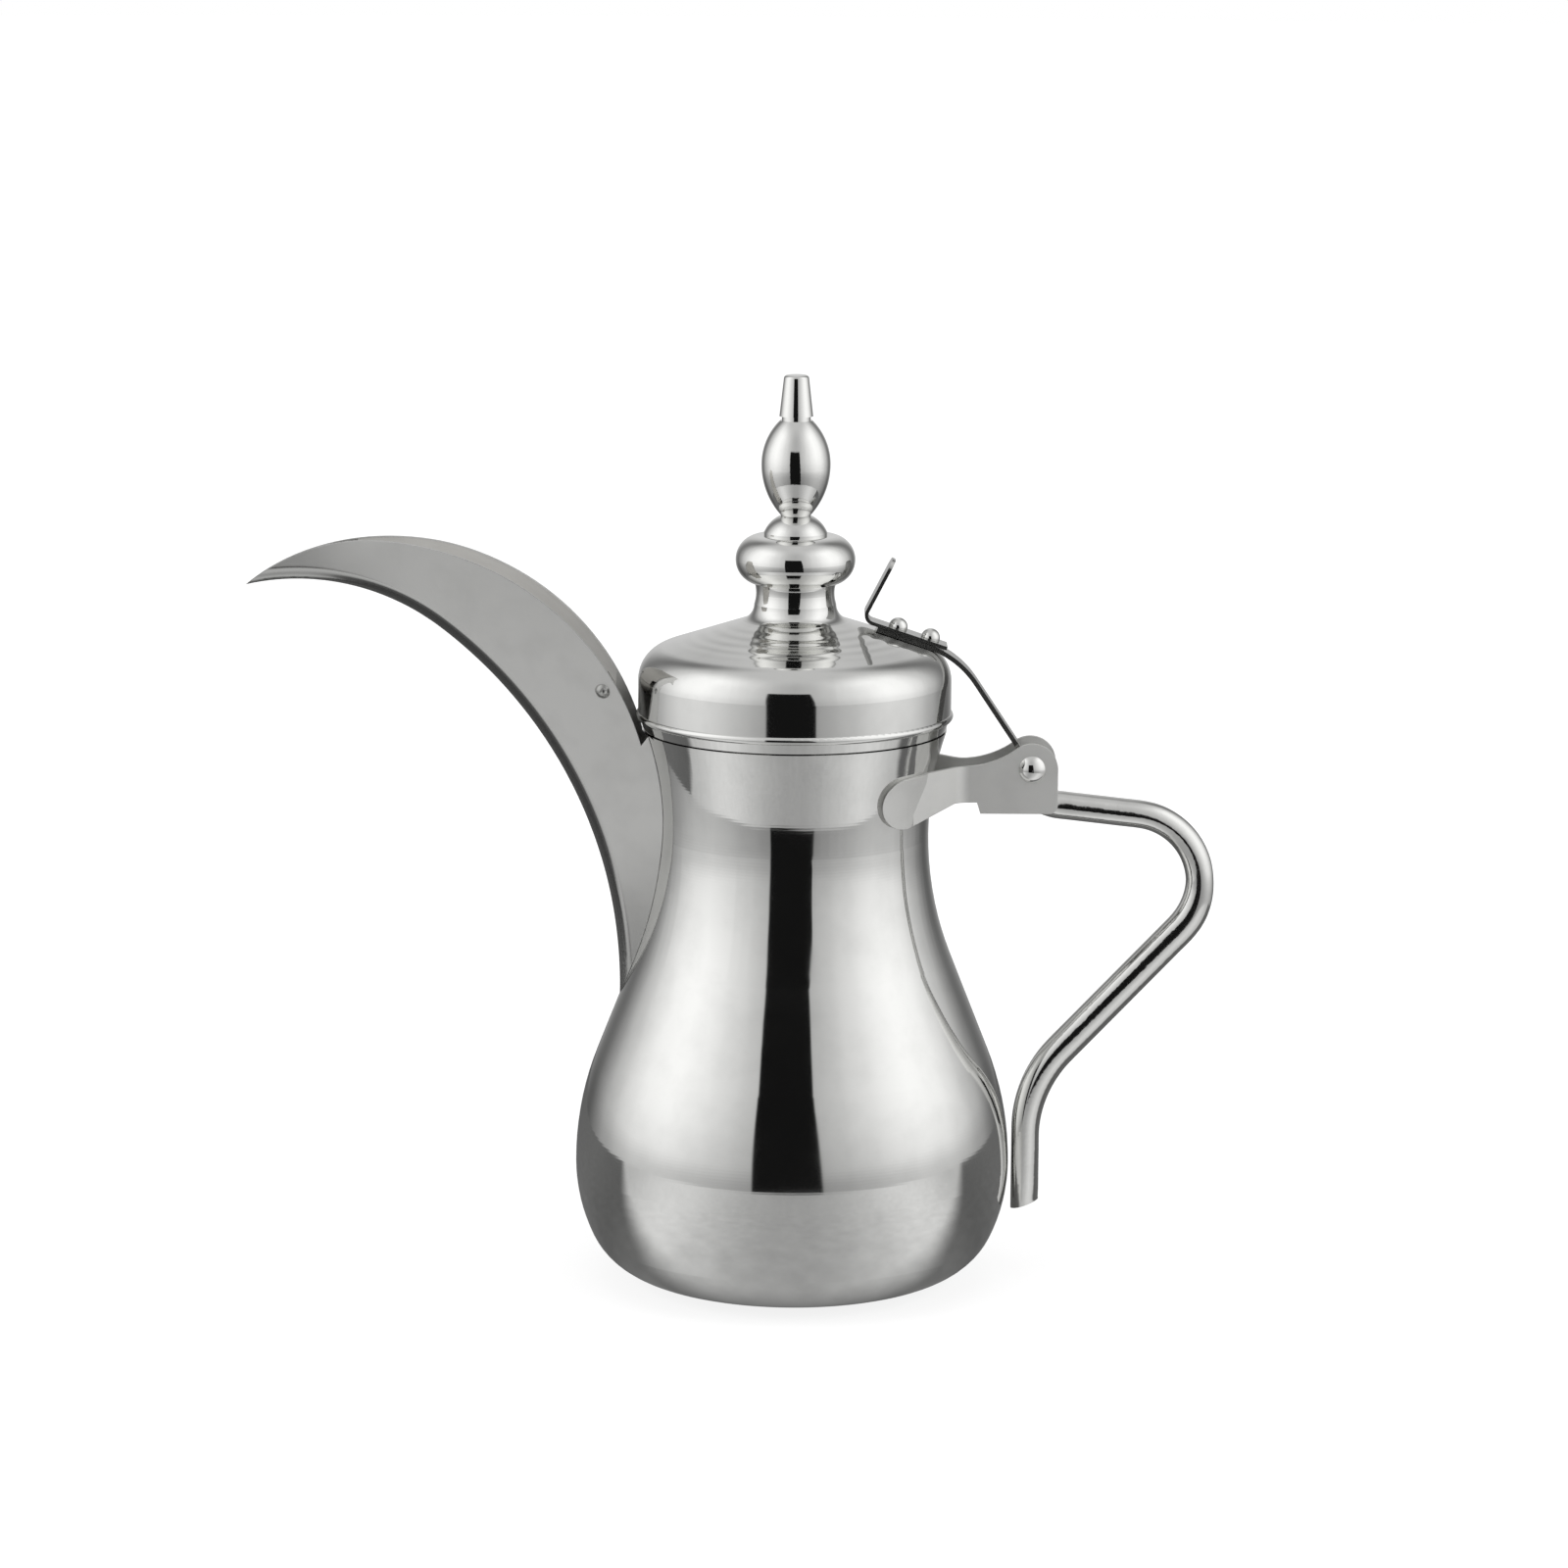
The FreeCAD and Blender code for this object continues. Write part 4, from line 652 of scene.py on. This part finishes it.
def sheet_relief(tree, place):
    """The mill's grain on sheet that is nearly flat."""
    stretched = add(tree, "ShaderNodeVectorMath", {0: place, 1: GRAIN_ACROSS}, operation="MULTIPLY")
    grain = slow_waves(tree, stretched, *SHEET_GRAIN)
    even = slow_waves(tree, place, *SHEET_WAVES)
    return add(tree, "ShaderNodeMath", {0: grain, 1: even}, operation="ADD")


def spout_relief(tree, place):
    """The sheet's own relief, and the strip that falls away to the fold."""
    strip = add(
        tree,
        "ShaderNodeMapRange",
        {"Value": above_keel(tree, place), "From Max": STRIP_MM, "To Max": STRIP_SLOPE * STRIP_MM},
        interpolation_type="SMOOTHSTEP",
    )
    return add(tree, "ShaderNodeMath", {0: strip, 1: sheet_relief(tree, place)}, operation="ADD")


# satin sides, a soft even grey, with a dark line along the fold: mirror of the dark table, deepened by a
# painted dark reflection in the colour
spout_finish = steel(
    "stainless_spout_folded_and_satined", "#D4D4D2",
    roughness=0.46, dull=0.06, relief=spout_relief, edge_mm=0.3, burnish_and_painted_reflection=on_strip,
)
print("spout finish:", spout_finish.name)

# %% [markdown]
# Sheet, tube and turned pieces
#
# Flap and bracket are cut from sheet that keeps its satin mill finish, so they show the room only as
# soft greys. The hinge strap and the handle's tube are buffed. The finial, pins and rivets are turned
# and polished. The nut and washer under the lid are plain zinc-plated steel.

# %% Other finishes
BUFFED_WAVES = (20.0, 0.02)              # length and height in millimetres
TURNED_MARKS = (0.6, 0.0006)             # spacing and height in millimetres
PLATING_GRAIN = (2.0, 0.01)              # length and height, coarse enough to show


def buffed_relief(tree, place):
    """Tube or strip that was bent and then buffed by hand."""
    return slow_waves(tree, place, *BUFFED_WAVES)


def turned_relief(tree, place):
    """Marks of the lathe under the polish."""
    return turning_marks(tree, place, "BANDS", *TURNED_MARKS)


def plated_relief(tree, place):
    """The fine grain of zinc plating."""
    return slow_waves(tree, place, *PLATING_GRAIN)


# plate, blanked and tumbled to a satin: an even light grey
plate_finish = steel(
    "stainless_plate_blanked_and_satined", "#E6E6E4",
    roughness=0.6, dull=0.06, relief=sheet_relief, edge_mm=0.3,
)
# strip with the rolls' own satin: a darker and slightly warm grey
flap_finish = steel(
    "stainless_strip_rolled", "#CBC9C4",
    roughness=0.42, dull=0.06, relief=sheet_relief, edge_mm=0.2,
)
# bent strip, buffed after bending: blurred images in a darker grey, because the wheel reaches it badly
strap_finish = steel(
    "stainless_strip_bent_and_buffed", "#BEBEBC", roughness=0.2, dull=0.06, relief=buffed_relief,
)
# buffed tube: long soft lines of light and dark
tube_finish = steel("stainless_tube_buffed", "#E1E1DF", roughness=0.08, dull=0.05, relief=buffed_relief)
# turned and buffed: small sharp images of the whole tent
turned_finish = steel(
    "stainless_turned_and_buffed", "#E6E6E4", roughness=0.045, dull=0.03, relief=turned_relief,
)
# a pin's end, peened over: darker than the sheet round it
pin_finish = steel("stainless_pin_peened", "#A6A6A4", roughness=0.2, dull=0.05, relief=buffed_relief)
# zinc plating: a dull and slightly blue grey
plated_finish = steel("zinc_plated_steel", "#C6C8CA", roughness=0.3, dull=0.1, relief=plated_relief)
print("stainless finishes:", sum(made.name.startswith("stainless") for made in bpy.data.materials))

# %% [markdown]
# Dressing the pieces
#
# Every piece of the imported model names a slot, and a slot has one finish. A few pieces were made in
# another way than the rest of their slot, and they have a finish of their own.

# %% Give every piece its finish
finishes = {
    "spun_steel": pot_finish,
    "sheet_steel": plate_finish,
    "tube_steel": tube_finish,
    "turned_steel": turned_finish,
    "plain_steel": plated_finish,
}
own_finishes = {
    "lid_dome": lid_finish,
    "spout": spout_finish,
    "spout_flap": flap_finish,
    "flap_pin": pin_finish,
    "hinge_strap": strap_finish,
    "thumb_lift": strap_finish,
}
for part in frame["record"]["subparts"]:
    piece = frame["nodes"][part["node"]]
    piece.data.materials.clear()
    piece.data.materials.append(own_finishes.get(part["node"], finishes[part["material_slot"]]))
print("finishes:", sorted(finishes), "and", len(set(own_finishes.values())), "of their own")
